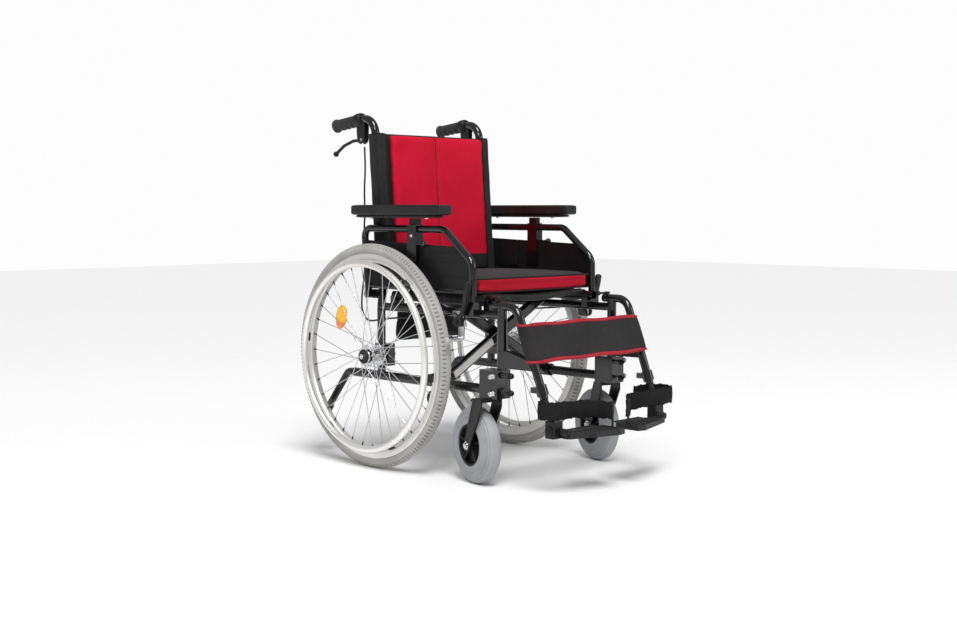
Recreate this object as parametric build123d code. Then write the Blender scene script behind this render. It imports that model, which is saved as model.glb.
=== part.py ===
from build123d import *
import math
import os

os.makedirs("parts", exist_ok=True)

# A folding manual wheelchair. Millimetres, +Z up, the chair faces -Y.
# Places are first worked out from the rear axle line (y = 0) and the floor (z = 0) for the left side (+X);
# the right side is its mirror image. The whole chair is then shifted along Y so that its box is centred.

# overall sizes
seat_width = 430.0  # between the middle planes of the two side frames
rear_wheel_radius = 305.0  # 24 inch wheel
caster_radius = 100.0
rail_height = 468.0  # middle of the seat rails
back_height = 908.0  # top edge of the back upholstery
handle_height = 956.0  # corner point of the push handle bend
handle_reach = 226.0  # end of the tube inside the grip, behind the rear axle
handle_slope = 0.119  # drop of the grip along its length
foot_reach = 690.0  # rear axle to the front tip of the footplates

# tubes
frame_tube = 25.0
frame_wall = 2.0
upper_tube = 22.0
cane_tube = 23.0
rail_tube = 22.0
armrest_tube = 19.5
hanger_tube = 22.0
leg_tube_od = 18.0
tube_wall = 1.75

# clearances
turning_gap = 0.4  # between a turning piece and its pin or tube
sliding_gap = 0.3
soft_gap = 1.0
caster_wheel_gap = 5.0  # between the caster and the rear wheel at their closest

# rear wheel
tyre_width = 33.0
tyre_height = 33.0
rim_depth = 18.0
tyre_offset = 54.0  # tyre plane outside the side-frame plane
handrim_offset = 36.0  # handrim plane outside the tyre plane
handrim_radius = 251.0
handrim_tube = 18.0
handrim_tab_turn = 38.0  # degrees from the top to the first of the six tabs
spoke_count = 36
spoke_diameter = 2.0
hub_flange = 58.0
axle_diameter = 12.0

# caster
caster_width = 50.0
caster_hub_radius = 55.0
caster_trail = 55.0
stem_diameter = 20.0
stem_offset = 20.0  # stem axis outside the side-frame plane
crown_height = 28.0  # crown top above the caster
fork_plate = 4.0
caster_turn = {"left": -18.8, "right": -14.0}  # degrees, as the casters stand

# side frame
lower_height = 245.0
rear_upright = 23.0
front_gap = 30.0  # front upright ahead of the caster stem
housing_height = 72.0
upper_drop = 32.0  # upper side tube below the seat rails

# cross brace
brace_place = -222.0
brace_thick = 18.0
brace_deep = 32.0
brace_gap = 2.0
rail_inset = 27.5  # seat rail inside the side-frame plane
brace_fold = 45.0  # degrees that each brace turns as the chair folds

# back
cane_inset = 14.0
cane_foot = 30.0
back_lean = 4.24
panel_thick = 14.0

# armrest
armrest_offset = 17.0
armrest_pivot = (55.0, 2.0)  # behind the axle, above the seat rail
armrest_lift = 182.0  # top tube above the seat rail
pad_clearance = 68.0  # tray underside above the rear tyre
pad_size = (50.0, 357.0, 28.0)
pad_rear = 90.0  # rear end of the pad, behind the rear axle
post_place = -135.5
post_size = (16.4, 27.8)

# leg rest
hanger_lean = 21.7
hanger_start = 50.0  # bend ahead of the front upright
leg_angle_inset = 9.0
footplate_top = 158.0
footplate_thick = 14.0
footplate_hinge = 23.0  # flip hinge inside the side-frame plane
footplate_gap = 52.0  # between the two footplates
heel_post_height = 61.0
heel_loop_gap = {"left": 36.0, "right": 21.0}  # strap from the leg tube's middle, slacker on the left

# the places that follow from these sizes
frame_plane = seat_width / 2
axle_shift = (foot_reach - rear_wheel_radius) / 2
tyre_plane = frame_plane + tyre_offset
handrim_plane = tyre_plane + handrim_offset
reach = rear_wheel_radius + caster_radius + caster_wheel_gap
caster_run = math.sqrt(reach**2 - (rear_wheel_radius - caster_radius) ** 2)
stem_plane = frame_plane + stem_offset
stem_place = -(caster_run + caster_trail)
front_upright = stem_place - front_gap
housing_foot = 2 * caster_radius + crown_height
upper_height = rail_height - upper_drop
armrest_plane = frame_plane + armrest_offset
cane_plane = frame_plane - cane_inset
rail_plane = frame_plane - rail_inset
tyre_bed = rear_wheel_radius - tyre_height
hinge_place = (-(foot_reach - 75), footplate_top + 2)
hinge_plane = frame_plane - footplate_hinge


def block(x0, x1, y0, y1, z0, z1):
    """A box between two corners."""
    return Pos((x0 + x1) / 2, (y0 + y1) / 2, (z0 + z1) / 2) * Box(abs(x1 - x0), abs(y1 - y0), abs(z1 - z0))


def soft_block(x0, x1, y0, y1, z0, z1, radius):
    """A box with every edge rounded."""
    body = block(x0, x1, y0, y1, z0, z1)
    return fillet(body.edges(), radius)


def rod(start, end, radius):
    """A round bar from one point to another."""
    run = Vector(*end) - Vector(*start)
    bar = Cylinder(radius, run.length, align=(Align.CENTER, Align.CENTER, Align.MIN))
    return Plane(origin=start, z_dir=run) * bar


def ball(centre, radius):
    return Pos(*centre) * Sphere(radius)


def pipe(points, radii, radius):
    """A round bar along straight runs joined by tangent arcs."""
    path = FilletPolyline(*points, radius=radii)
    return sweep(Plane(origin=path @ 0, z_dir=path % 0) * Circle(radius), path=path)


def turned(profile, centre):
    """A closed outline of (x, radius) points turned about a line along X through the centre."""
    face = make_face(Polyline(*[(x, r) for x, r in profile], close=True))
    return Pos(*centre) * revolve(Plane.XZ * face, Axis.X)


def slab_x(outline, x0, x1):
    """A plate with an outline of (y, z) points between two places along X."""
    face = make_face(Polyline(*outline, close=True))
    return extrude(Plane(origin=(x0, 0, 0), x_dir=(0, 1, 0), z_dir=(1, 0, 0)) * face, x1 - x0)


def slab_z(outline, z0, z1):
    """A plate with an outline of (x, y) points between two heights."""
    return extrude(Pos(0, 0, z0) * make_face(Polyline(*outline, close=True)), z1 - z0)


def cord_radii(points):
    """The largest arc at each corner that leaves a tenth of the shorter run straight."""
    radii = []
    for before, here, after in zip(points, points[1:], points[2:]):
        run_in = Vector(*here) - Vector(*before)
        run_out = Vector(*after) - Vector(*here)
        half_turn = math.radians(run_in.get_angle(run_out)) / 2
        radii.append(0.45 * min(run_in.length, run_out.length) / math.tan(half_turn))
    return radii


# ---- rear wheel ----

def wheel_centre():
    return (tyre_plane, 0, rear_wheel_radius)


def make_tyre():
    half = tyre_width / 2
    shoulder = rear_wheel_radius - 19
    outline = Polyline((-half, shoulder), (-half + 4, tyre_bed), (half - 4, tyre_bed), (half, shoulder))
    crown = ThreePointArc((half, shoulder), (0, rear_wheel_radius), (-half, shoulder))
    face = make_face(outline + crown)
    return Pos(*wheel_centre()) * revolve(Plane.XZ * face, Axis.X)


def make_rim():
    half = tyre_width / 2 - 4
    well = tyre_bed - rim_depth
    profile = [(-half, tyre_bed), (half, tyre_bed), (half, tyre_bed - 10), (half - 5, well), (5 - half, well)]
    return turned(profile + [(-half, tyre_bed - 10)], wheel_centre())


def make_handrim():
    ring = Pos(handrim_plane, 0, rear_wheel_radius) * Rot(0, 90, 0) * Torus(handrim_radius, handrim_tube / 2)
    rim_side = tyre_plane + tyre_width / 2 - 4
    tab = block(rim_side, handrim_plane, -9, 9, tyre_bed - 9, tyre_bed - 6)
    tab += block(handrim_plane - 5, handrim_plane, -7, 7, handrim_radius, tyre_bed - 6)
    tabs = [Pos(0, 0, rear_wheel_radius) * Rot(60 * k + handrim_tab_turn, 0, 0) * tab for k in range(6)]
    return ring + tabs


def make_hub():
    """The hub shell with its two flanges, and the crossed spokes that run to the rim."""
    inner = frame_plane + 19
    outer = tyre_plane + 30
    bore = axle_diameter / 2 + turning_gap
    flanges = (inner + 12, outer - 11)
    shell = Cylinder(17, outer - inner)
    for flange in flanges:
        shell += Pos(0, 0, flange - (inner + outer) / 2) * Cylinder(hub_flange / 2, 3.2)
    shell -= Cylinder(bore, outer - inner + 2)
    shell = Pos((inner + outer) / 2, 0, rear_wheel_radius) * Rot(0, 90, 0) * shell
    spokes = []
    for k in range(spoke_count):
        rim_angle = math.radians(360 / spoke_count * k)
        lead = 1 if (k // 2) % 2 else -1
        hub_angle = rim_angle + lead * math.radians(62)
        hole = hub_flange / 2 - 4
        end = tyre_bed - rim_depth - sliding_gap
        start_point = (flanges[k % 2] + lead * 2, hole * math.cos(hub_angle), hole * math.sin(hub_angle))
        end_point = (tyre_plane, end * math.cos(rim_angle), end * math.sin(rim_angle))
        spokes.append(Pos(0, 0, rear_wheel_radius) * rod(start_point, end_point, spoke_diameter / 2))
    return shell + spokes


def make_axle_button():
    start = tyre_plane + 33.5
    line = (0, rear_wheel_radius)
    button = rod((start, *line), (start + 4, *line), 7) + rod((start + 4, *line), (start + 7, *line), 5)
    return button


# ---- caster, made about its own stem line ----

def make_caster_fork():
    """The stem, the crown and two slanting blades that hold the caster axle."""
    cheek = caster_width / 2 + 2.5
    outer = cheek + fork_plate
    top = housing_foot - 2
    crown = block(-outer, outer, -17, 22, top - 8, top)
    blade = [(-17, top), (22, top), (caster_trail + 15, caster_radius - 2),
             (caster_trail + 9, caster_radius - 15), (caster_trail - 9, caster_radius - 15),
             (caster_trail - 15, caster_radius - 2), (-17, top - 22)]
    fork = crown + slab_x(blade, cheek, outer) + slab_x(blade, -outer, -cheek)
    fork += rod((0, 0, top - 4), (0, 0, housing_foot + housing_height - 10), stem_diameter / 2)
    fork += rod((-outer - 3, caster_trail, caster_radius), (outer + 3, caster_trail, caster_radius), 5)
    return fork


def make_caster_tyre():
    half = caster_width / 2
    shoulder = caster_radius - 13
    outline = Polyline((-half, shoulder), (-half + 3, caster_hub_radius), (half - 3, caster_hub_radius),
                       (half, shoulder))
    crown = ThreePointArc((half, shoulder), (0, caster_radius), (-half, shoulder))
    face = make_face(outline + crown)
    return Pos(0, caster_trail, caster_radius) * revolve(Plane.XZ * face, Axis.X)


def make_caster_hub():
    """A dished hub with five ribs on each side."""
    half = caster_width / 2 - 3
    boss = caster_width / 2 + 1.5
    web = half - 12
    bore = 5 + turning_gap
    profile = [(-boss, bore), (boss, bore), (boss, 13), (web, 13), (web, 47), (half, 49),
               (half, caster_hub_radius), (-half, caster_hub_radius), (-half, 49), (-web, 47), (-web, 13),
               (-boss, 13)]
    hub = turned(profile, (0, 0, 0))
    rib = block(-half + 1, half - 1, -2, 2, 12, 48)
    hub += [Rot(72 * k, 0, 0) * rib for k in range(5)]
    return Pos(0, caster_trail, caster_radius) * hub


# ---- side frame ----

def frame_paths():
    """The tubes of one side frame as (points, bend radii, outer radius)."""
    top_end = (front_upright, upper_height + 12)
    lean = math.tan(math.radians(back_lean))
    cane_start = rail_height + 42
    cane_top = cane_foot + (handle_height - cane_start) * lean
    return {
        "lower": (((frame_plane, 140, lower_height), (frame_plane, front_upright, lower_height)),
                  None, frame_tube / 2),
        "front": (((frame_plane, front_upright, housing_foot), (frame_plane, *top_end)),
                  None, frame_tube / 2),
        "upper": (((frame_plane, rear_upright, upper_height), (frame_plane, front_upright, upper_height)),
                  None, upper_tube / 2),
        "cane": (((frame_plane, rear_upright, lower_height), (frame_plane, rear_upright, rail_height - 38),
                  (cane_plane, cane_foot, cane_start), (cane_plane, cane_top, handle_height),
                  (cane_plane, handle_reach, handle_height - handle_slope * (handle_reach - cane_top))),
                 (60, 60, 45), cane_tube / 2),
    }


def bar(points, radii, radius):
    if radii is None:
        return rod(points[0], points[1], radius)
    return pipe(points, radii, radius)


def rail_saddle(place):
    """A cradle beside the upper side tube that the seat rail drops into."""
    body = block(rail_plane - 14, frame_plane - 8, place - 10, place + 10, upper_height - 2, rail_height - 2)
    return body - rod((rail_plane, place - 20, rail_height), (rail_plane, place + 20, rail_height),
                      rail_tube / 2 + sliding_gap)


def make_frame():
    paths = frame_paths()
    solid = None
    for points, radii, radius in paths.values():
        tube = bar(points, radii, radius)
        solid = tube if solid is None else solid + tube
    # caster housing clamped round the front upright
    stem_side = stem_plane + stem_diameter / 2 + 4
    solid += block(frame_plane - 15, stem_side, front_upright - 15, stem_place + 17, housing_foot,
                   housing_foot + housing_height)
    # axle block and spacer on the rear upright
    axle_block = block(frame_plane - 13, frame_plane + 13, -18, rear_upright + 13, rear_wheel_radius - 30,
                       rear_wheel_radius + 30)
    solid += axle_block
    solid += rod((frame_plane, 0, rear_wheel_radius), (frame_plane + 18.5, 0, rear_wheel_radius), 11)
    for place in (rail_places()[0] + 24, rail_places()[1] - 16):
        solid += rail_saddle(place)
    # armrest hinge bracket behind the rear upright, and its pin
    hinge_y, hinge_z = armrest_hinge()
    solid += block(frame_plane - 12, frame_plane + 6, rear_upright, hinge_y + 9, hinge_z - 12, hinge_z + 12)
    solid += rod((frame_plane, hinge_y, hinge_z), (armrest_plane + 11, hinge_y, hinge_z), 4)
    # cup for the front leg of the armrest
    foot_y = armrest_front()
    cup_floor = upper_height + upper_tube / 2 + 2
    cup = block(frame_plane, armrest_plane + armrest_tube / 2 + 3, foot_y - 14, foot_y + 14, upper_height - 4,
                cup_floor + 18)
    cup -= rod((armrest_plane, foot_y, cup_floor), (armrest_plane, foot_y, cup_floor + 20),
               armrest_tube / 2 + soft_gap)
    solid += cup
    # parking brake bracket and pin
    brake_y, brake_z = brake_pivot()
    plate = [(brake_y - 14, brake_z - 12), (brake_y + 14, brake_z - 12), (brake_y + 30, upper_height + 12),
             (brake_y, upper_height + 12)]
    solid += slab_x(plate, frame_plane + 19, frame_plane + 23)
    solid += block(frame_plane, frame_plane + 23, brake_y, brake_y + 30, upper_height - 4, upper_height + 12)
    solid += rod((frame_plane + 19, brake_y, brake_z), (brake_plane() + 9, brake_y, brake_z), 4)
    for points, radii, radius in paths.values():
        solid -= bar(points, radii, radius - (frame_wall if radius == frame_tube / 2 else tube_wall))
    solid -= rod((frame_plane, 120, lower_height), (frame_plane, 141, lower_height),
                 frame_tube / 2 - frame_wall)
    solid -= rod((frame_plane, front_upright, upper_height), (frame_plane, front_upright, upper_height + 13),
                 frame_tube / 2 - frame_wall)
    solid -= rod((stem_plane, stem_place, housing_foot - 1),
                 (stem_plane, stem_place, housing_foot + housing_height - 8), stem_diameter / 2 + turning_gap)
    solid -= rod((frame_plane - 14, 0, rear_wheel_radius), (frame_plane + 19, 0, rear_wheel_radius),
                 axle_diameter / 2)
    return solid


def make_frame_hardware():
    """The quick-release axle with its inner nut, and the bolts and knobs of the caster housing."""
    line = (0, rear_wheel_radius)
    pieces = [rod((frame_plane - 22, *line), (tyre_plane + 30, *line), axle_diameter / 2)]
    pieces[0] += rod((frame_plane - 22, *line), (frame_plane - 13, *line), 10)
    outside = stem_plane + stem_diameter / 2 + 4
    for height in (housing_foot + 15, housing_foot + 58):
        pieces.append(rod((outside, front_upright - 6, height), (outside + 4, front_upright - 6, height), 6))
        front = front_upright - 15
        pieces.append(rod((frame_plane + 2, front, height), (frame_plane + 2, front - 12, height), 6.5))
    return Compound(children=[piece.solid() for piece in pieces])


# ---- folding cross brace and seat rails ----

def rail_places():
    """Front and rear ends of the seat rails."""
    return front_upright + 40, 0.0


def brace_rise():
    """Angle of a brace above the level when the chair is open."""
    return math.degrees(math.atan2(rail_height - lower_height, frame_plane + rail_plane))


def brace_centre():
    rise = math.tan(math.radians(brace_rise()))
    return (0, brace_place, lower_height + frame_plane * rise)


def make_brace(middle, pin):
    """One brace from the right-hand lower tube up to the left-hand seat rail."""
    foot = (-frame_plane, middle, lower_height)
    head = (rail_plane, middle, rail_height)
    length = (Vector(*head) - Vector(*foot)).length
    arm = Pos(length / 2, 0, 0) * Box(length, brace_thick, brace_deep)
    arm = fillet(arm.edges().filter_by(Axis.X), 6)
    arm = Pos(*foot) * Rot(0, -brace_rise(), 0) * arm
    rail_top = rail_height + rail_tube / 2
    arm -= block(0, frame_plane, middle - 20, middle + 20, rail_top, rail_top + 40)
    arm += rod((foot[0], middle - 16, foot[2]), (foot[0], middle + 16, foot[2]), frame_tube / 2 + 5)
    arm -= rod((foot[0], middle - 20, foot[2]), (foot[0], middle + 20, foot[2]), frame_tube / 2 + turning_gap)
    front, rear = rail_places()
    arm += rod((rail_plane, front, rail_height), (rail_plane, rear, rail_height), rail_tube / 2)
    for start, end in ((front - 1, middle - 20), (middle + 20, rear + 1)):
        arm -= rod((rail_plane, start, rail_height), (rail_plane, end, rail_height), rail_tube / 2 - tube_wall)
    centre = brace_centre()
    ends = (middle - 15, middle + brace_thick + brace_gap + 14)
    if pin:
        arm += rod((0, ends[0], centre[2]), (0, ends[1], centre[2]), 5)
    else:
        arm -= rod((0, ends[0], centre[2]), (0, ends[1], centre[2]), 5 + turning_gap)
    return arm


# ---- soft seat and back ----

def make_seat_sling():
    """The sling between the rails, with a sleeve round each rail, open where the brace and saddles sit."""
    front, rear = rail_places()
    start, end = front + 38, rear - 30
    top = rail_height + rail_tube / 2 + soft_gap
    sling = block(-rail_plane, rail_plane, start, end, top, top + 3)
    for side in (-1, 1):
        sling += rod((side * rail_plane, start, rail_height), (side * rail_plane, end, rail_height),
                     rail_tube / 2 + soft_gap + 3)
    for side in (-1, 1):
        sling -= rod((side * rail_plane, start - 1, rail_height), (side * rail_plane, end + 1, rail_height),
                     rail_tube / 2 + soft_gap)
        sling -= block(side * (rail_plane - 60), side * (rail_plane + 30), brace_place - 40, brace_place + 40,
                       rail_height - 30, top)
    return sling


def make_seat_cushion():
    bottom = rail_height + rail_tube / 2 + soft_gap + 3 + soft_gap
    half = frame_plane + 3
    return soft_block(-half, half, front_upright + 76, -4, bottom, bottom + 47, 8)


def make_back_upholstery():
    """A front panel with a sleeve at each side round the back canes, leaning as the canes do."""
    foot = rail_height + 52
    start = rail_height + 42
    length = (back_height - foot) / math.cos(math.radians(back_lean))
    inner = cane_plane - 20
    outer = cane_plane + 17
    panel = block(-inner - 1, inner + 1, -27, -27 + panel_thick, 0, length)
    panel = fillet(panel.edges().filter_by(Axis.Z), 4)
    for side in (-1, 1):
        sleeve = block(side * inner, side * outer, -27, 20, 0, length)
        panel += fillet(sleeve.edges().filter_by(Axis.Z), 5)
        panel -= Pos(side * cane_plane, 0, length / 2) * Cylinder(cane_tube / 2 + soft_gap, length + 10)
    shift = (foot - start) * math.tan(math.radians(back_lean))
    return Pos(0, cane_foot + shift, foot) * Rot(-back_lean, 0, 0) * panel


def make_under_seat_bag():
    """A flat pouch on two webbing straps below the back upholstery."""
    half = frame_plane - 82
    top = rail_height - 26
    bag = soft_block(-half, half, 36, 74, top - 112, top, 10)
    for side in (-1, 1):
        bag += block(side * (half - 50), side * (half - 25), 40, 43, top - 30, rail_height + 50)
    return bag


# ---- push handle ----

def make_push_handle():
    """The rubber grip, the brake lever clamp and its two cheeks on the end of the back tube."""

    def line(y):
        return (cane_plane, y, handle_height - handle_slope * (y - cane_end_place()))

    grip = rod(line(147), line(handle_reach + 2), cane_tube / 2 + 5.5)
    grip += rod(line(handle_reach - 6), line(handle_reach + 3), cane_tube / 2 + 7)
    clamp = rod(line(112), line(143), cane_tube / 2 + 6)
    for side in (-1, 1):
        clamp += block(cane_plane + side * 5.5, cane_plane + side * 9, 96, 132, handle_height - 74, handle_height - 5)
    clamp += rod((cane_plane - 9, *lever_pivot()), (cane_plane + 9, *lever_pivot()), 2.5)
    bore = rod(line(140), line(handle_reach + 0.5), cane_tube / 2 + 0.2)
    clamp -= bar(*frame_paths()["cane"])
    return Compound(children=[(grip - bore).solid(), clamp.solid()])


def cane_end_place():
    """Where the push handle bend would have its corner."""
    return cane_foot + (handle_height - rail_height - 42) * math.tan(math.radians(back_lean))


def lever_pivot():
    return (110.0, handle_height - 62)


def make_attendant_lever():
    y, z = lever_pivot()
    points = [(cane_plane, y, z), (cane_plane, y + 46, z - 2), (cane_plane, y + 86, z - 14),
              (cane_plane, y + 122, z - 36)]
    lever = pipe(points, [40, 60], 4.5) + ball(points[-1], 8)
    lever += rod((cane_plane - 4.8, y, z), (cane_plane + 4.8, y, z), 8)
    return lever - rod((cane_plane - 6, y, z), (cane_plane + 6, y, z), 2.5 + turning_gap)


def brake_cable_points():
    """Route of one brake cable, from the lever clamp down behind the cane and forward to the parking brake."""
    x = frame_plane
    top = handle_height
    low = rail_height
    return [
        (x - 10, 102, top - 82), (x - 8, 96, top - 138), (x - 6, 100, top - 200), (x - 4, 95, top - 262),
        (x - 2, 98, top - 326), (x - 1, 92, top - 388), (x + 1, 95, top - 446), (x + 8, 98, low - 12),
        (x + 18, 84, low - 52), (x + 25, 48, low - 74), (x + 26, 0, low - 66), (x + 25, -56, low - 58),
        (x + 26, -116, low - 55), (x + 25, -176, low - 49), (x + 26, -230, low - 45), (x + 26, -282, low - 36),
    ]


def make_brake_cable(radius=2.5):
    points = brake_cable_points()
    return pipe(points, cord_radii(points), radius)


# ---- armrest ----

def armrest_hinge():
    return (armrest_pivot[0], rail_height + armrest_pivot[1])


def armrest_front():
    """Place of the armrest's front leg."""
    return front_upright + 86


def armrest_paths():
    hinge_y, hinge_z = armrest_hinge()
    top = rail_height + armrest_lift
    front = armrest_front()
    x = armrest_plane
    loop = [(x, hinge_y, hinge_z), (x, hinge_y + 17, top), (x, front + 107, top), (x, front + 2, rail_height + 98),
            (x, front, upper_height + upper_tube / 2 + 4)]
    return loop, [24, 34, 40]


def post_sleeve():
    """Outside of the upright sleeve that the pad's post slides in."""
    return block(armrest_plane - 11, armrest_plane + 14, post_place - 18, post_place + 18, rail_height + 77,
                 rail_height + armrest_lift + 12)


def make_armrest_frame():
    """The bent tube, its lower bar, the post sleeve and the hinge eye."""
    loop, radii = armrest_paths()
    hinge_y, hinge_z = armrest_hinge()
    body = pipe(loop, radii, armrest_tube / 2)
    body += rod((armrest_plane, hinge_y, rail_height + 24), (armrest_plane, armrest_front(), rail_height + 24), 6)
    body += post_sleeve()
    body += rod((armrest_plane - 9, hinge_y, hinge_z), (armrest_plane + 9, hinge_y, hinge_z), 11)
    bore_x = post_size[0] / 2 + sliding_gap
    bore_y = post_size[1] / 2 + sliding_gap
    body -= block(armrest_plane - bore_x, armrest_plane + bore_x, post_place - bore_y, post_place + bore_y,
                  rail_height + 80, rail_height + armrest_lift + 13)
    body -= rod((armrest_plane - 12, hinge_y, hinge_z), (armrest_plane + 12, hinge_y, hinge_z), 4 + turning_gap)
    knob_z = rail_height + 143
    knob_x = armrest_plane + 11
    knob = rod((knob_x, post_place - 18, knob_z), (knob_x, post_place - 40, knob_z), 3)
    knob += ball((knob_x, post_place - 44, knob_z), 8)
    return Compound(children=[body.solid(), knob.solid()])


def make_skirt_guard():
    """The side panel that fills the armrest, cut back to the tube, with grooves and a raised rear pocket."""
    loop, radii = armrest_paths()
    hinge_y = armrest_hinge()[0]
    front = armrest_front()
    base = rail_height + 24
    outline = [(hinge_y + 2, base), (hinge_y + 11, rail_height + 150), (front + 64, rail_height + 138),
               (front + 2, rail_height + 92), (front, base)]
    panel = slab_x(outline, armrest_plane - 2, armrest_plane + 2)
    for height in (base + 36, base + 72, base + 96):
        panel -= block(armrest_plane + 1.2, armrest_plane + 3, front + 30, post_place - 24, height, height + 4)
    panel += block(armrest_plane - 9, armrest_plane - 2, -74, 6, base + 48, base + 108)
    panel -= pipe(loop, radii, armrest_tube / 2)
    panel -= rod((armrest_plane, hinge_y, base), (armrest_plane, front, base), 6)
    panel -= post_sleeve()
    return panel.solids().sort_by(SortBy.VOLUME)[-1]


def tray_height():
    return 2 * rear_wheel_radius + pad_clearance


def make_armrest_post():
    width, depth = post_size
    top = tray_height()
    return block(armrest_plane - width / 2, armrest_plane + width / 2, post_place - depth / 2, post_place + depth / 2,
                 top - 118, top)


def make_armrest_pad():
    """The tray and the padded top."""
    width, length, thick = pad_size
    inner = frame_plane + 5
    top = tray_height()
    tray = block(inner + 3, inner + width - 3, pad_rear - length + 20, pad_rear - 26, top, top + 8)
    pad = block(inner, inner + width, pad_rear - length, pad_rear, top + 8, top + 8 + thick)
    pad = fillet(pad.edges().filter_by(Axis.Z), width / 2 - 3)
    pad = fillet(pad.edges().group_by(Axis.Z)[-1], 8)
    return tray + pad


# ---- parking brake ----

def brake_plane():
    """Middle plane of the brake lever."""
    return frame_plane + 39


def shoe_place():
    """Middle of the brake shoe bar, clear of the tyre by its working stroke."""
    height = rail_height - 96
    away = rear_wheel_radius + 7 + 13
    return -math.sqrt(away**2 - (height - rear_wheel_radius) ** 2), height


def brake_pivot():
    return (shoe_place()[0] - 2, rail_height - 52)


def make_park_brake_lever():
    y, z = brake_pivot()
    x = brake_plane()
    arm = pipe([(x, y, z), (x, y - 20, z + 30), (x, y - 36, z + 98)], [30], 6)
    arm += rod((x - 5, y, z), (x + 5, y, z), 12)
    grip = rod((x, y - 27, z + 46), (x, y - 37, z + 100), 8.5)
    grip += ball((x, y - 37, z + 100), 8.5)
    return arm + grip - rod((x - 20, y, z), (x + 20, y, z), 4 + turning_gap)


def make_park_brake_shoe():
    """The arm below the brake pivot and the bar that presses on the tyre."""
    y, z = brake_pivot()
    shoe_y, shoe_z = shoe_place()
    inner = frame_plane + 24.5
    outline = [(y - 12, z + 8), (y + 12, z + 8), (shoe_y + 4, shoe_z - 4), (shoe_y - 12, shoe_z - 4)]
    arm = slab_x(outline, inner, inner + 4)
    arm += rod((inner, y, z), (inner + 4, y, z), 12)
    arm -= rod((inner - 1, y, z), (inner + 5, y, z), 4 + turning_gap)
    bar_end = tyre_plane + tyre_width / 2 + 3
    return arm + rod((inner, shoe_y, shoe_z), (bar_end, shoe_y, shoe_z), 7)


# ---- leg rest ----

def hanger_top():
    return (frame_plane, front_upright - hanger_start, upper_height + 24)


def leg_line(height):
    """The point of the hanger's straight leg at a height."""
    top = hanger_top()
    drop = top[2] - height
    inset = leg_angle_inset * drop / (top[2] - footplate_top)
    return (top[0] - inset, top[1] - drop * math.tan(math.radians(hanger_lean)), height)


def leg_direction():
    return (Vector(*leg_line(200)) - Vector(*leg_line(400))).normalized()


def make_hanger():
    """The swinging hanger: bent tube, top pin in the front upright, and the saddle that bears on it."""
    top = hanger_top()
    height = top[2]
    start = (frame_plane, front_upright + 28, height)
    end = leg_line(238)
    radius = hanger_tube / 2
    body = pipe([start, top, end], [42], radius)
    body += rod((frame_plane, front_upright, height - radius - 1), (frame_plane, front_upright, height), 13)
    body += rod((frame_plane, front_upright, upper_height - 8), (frame_plane, front_upright, height),
                frame_tube / 2 - frame_wall - sliding_gap)
    low = housing_foot + housing_height + 4
    at_low = leg_line(low + 4)
    at_high = leg_line(low + 40)
    wedge = [(front_upright - 4, low), (front_upright - 4, low + 44), (front_upright - 24, low + 44),
             (at_high[1], low + 26), (at_low[1], low + 2)]
    body += slab_x(wedge, frame_plane - 15, frame_plane + 9)
    body += rod((frame_plane, front_upright, low), (frame_plane, front_upright, low + 44), frame_tube / 2 + 4)
    body -= block(frame_plane - 30, frame_plane + 30, front_upright, front_upright + 30, low - 1, low + 45)
    body -= rod((frame_plane, front_upright, low - 1), (frame_plane, front_upright, low + 45),
                frame_tube / 2 + turning_gap)
    body -= rod(leg_line(236), leg_line(368), leg_tube_od / 2 + sliding_gap)
    # clamp boss and its lever for the leg length
    ring = leg_line(246)
    direction = leg_direction()
    sleeve = rod(ring, tuple(Vector(*ring) - direction * 26), radius + 4)
    sleeve -= rod(tuple(Vector(*ring) + direction), tuple(Vector(*ring) - direction * 27), radius)
    body += sleeve
    body += block(ring[0] - 4, ring[0] + 4, ring[1] + 18, ring[1] + 40, ring[2] + 4, ring[2] + 18)
    return body


def make_hanger_latch():
    """A flick lever with a ball end on top of the hanger."""
    place = front_upright + 16
    base = hanger_top()[2] + hanger_tube / 2 + 0.5
    latch = rod((frame_plane, place, base), (frame_plane, place, base + 6), 7)
    latch += rod((frame_plane, place, base + 3), (frame_plane - 38, place, base + 3), 2.8)
    return latch + Pos(frame_plane - 38, place, base + 3) * Rot(0, 90, 0) * Sphere(6.5)


def make_leg_tube():
    """The sliding tube with the hinge block and pin of the footplate."""
    foot = leg_line(footplate_top + 20)
    tube = rod(leg_line(330), foot, leg_tube_od / 2)
    tube -= rod(leg_line(331), leg_line(240), leg_tube_od / 2 - tube_wall)
    hinge_y, hinge_z = hinge_place
    body = block(hinge_plane - 9, foot[0] + 12, foot[1] - 16, foot[1] + 14, hinge_z - 16, footplate_top + 28)
    body = fillet(body.edges().filter_by(Axis.Z), 4)
    tube += body
    tube += rod((hinge_plane, foot[1], hinge_z), (hinge_plane, hinge_y - 28, hinge_z), 5)
    return tube


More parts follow.
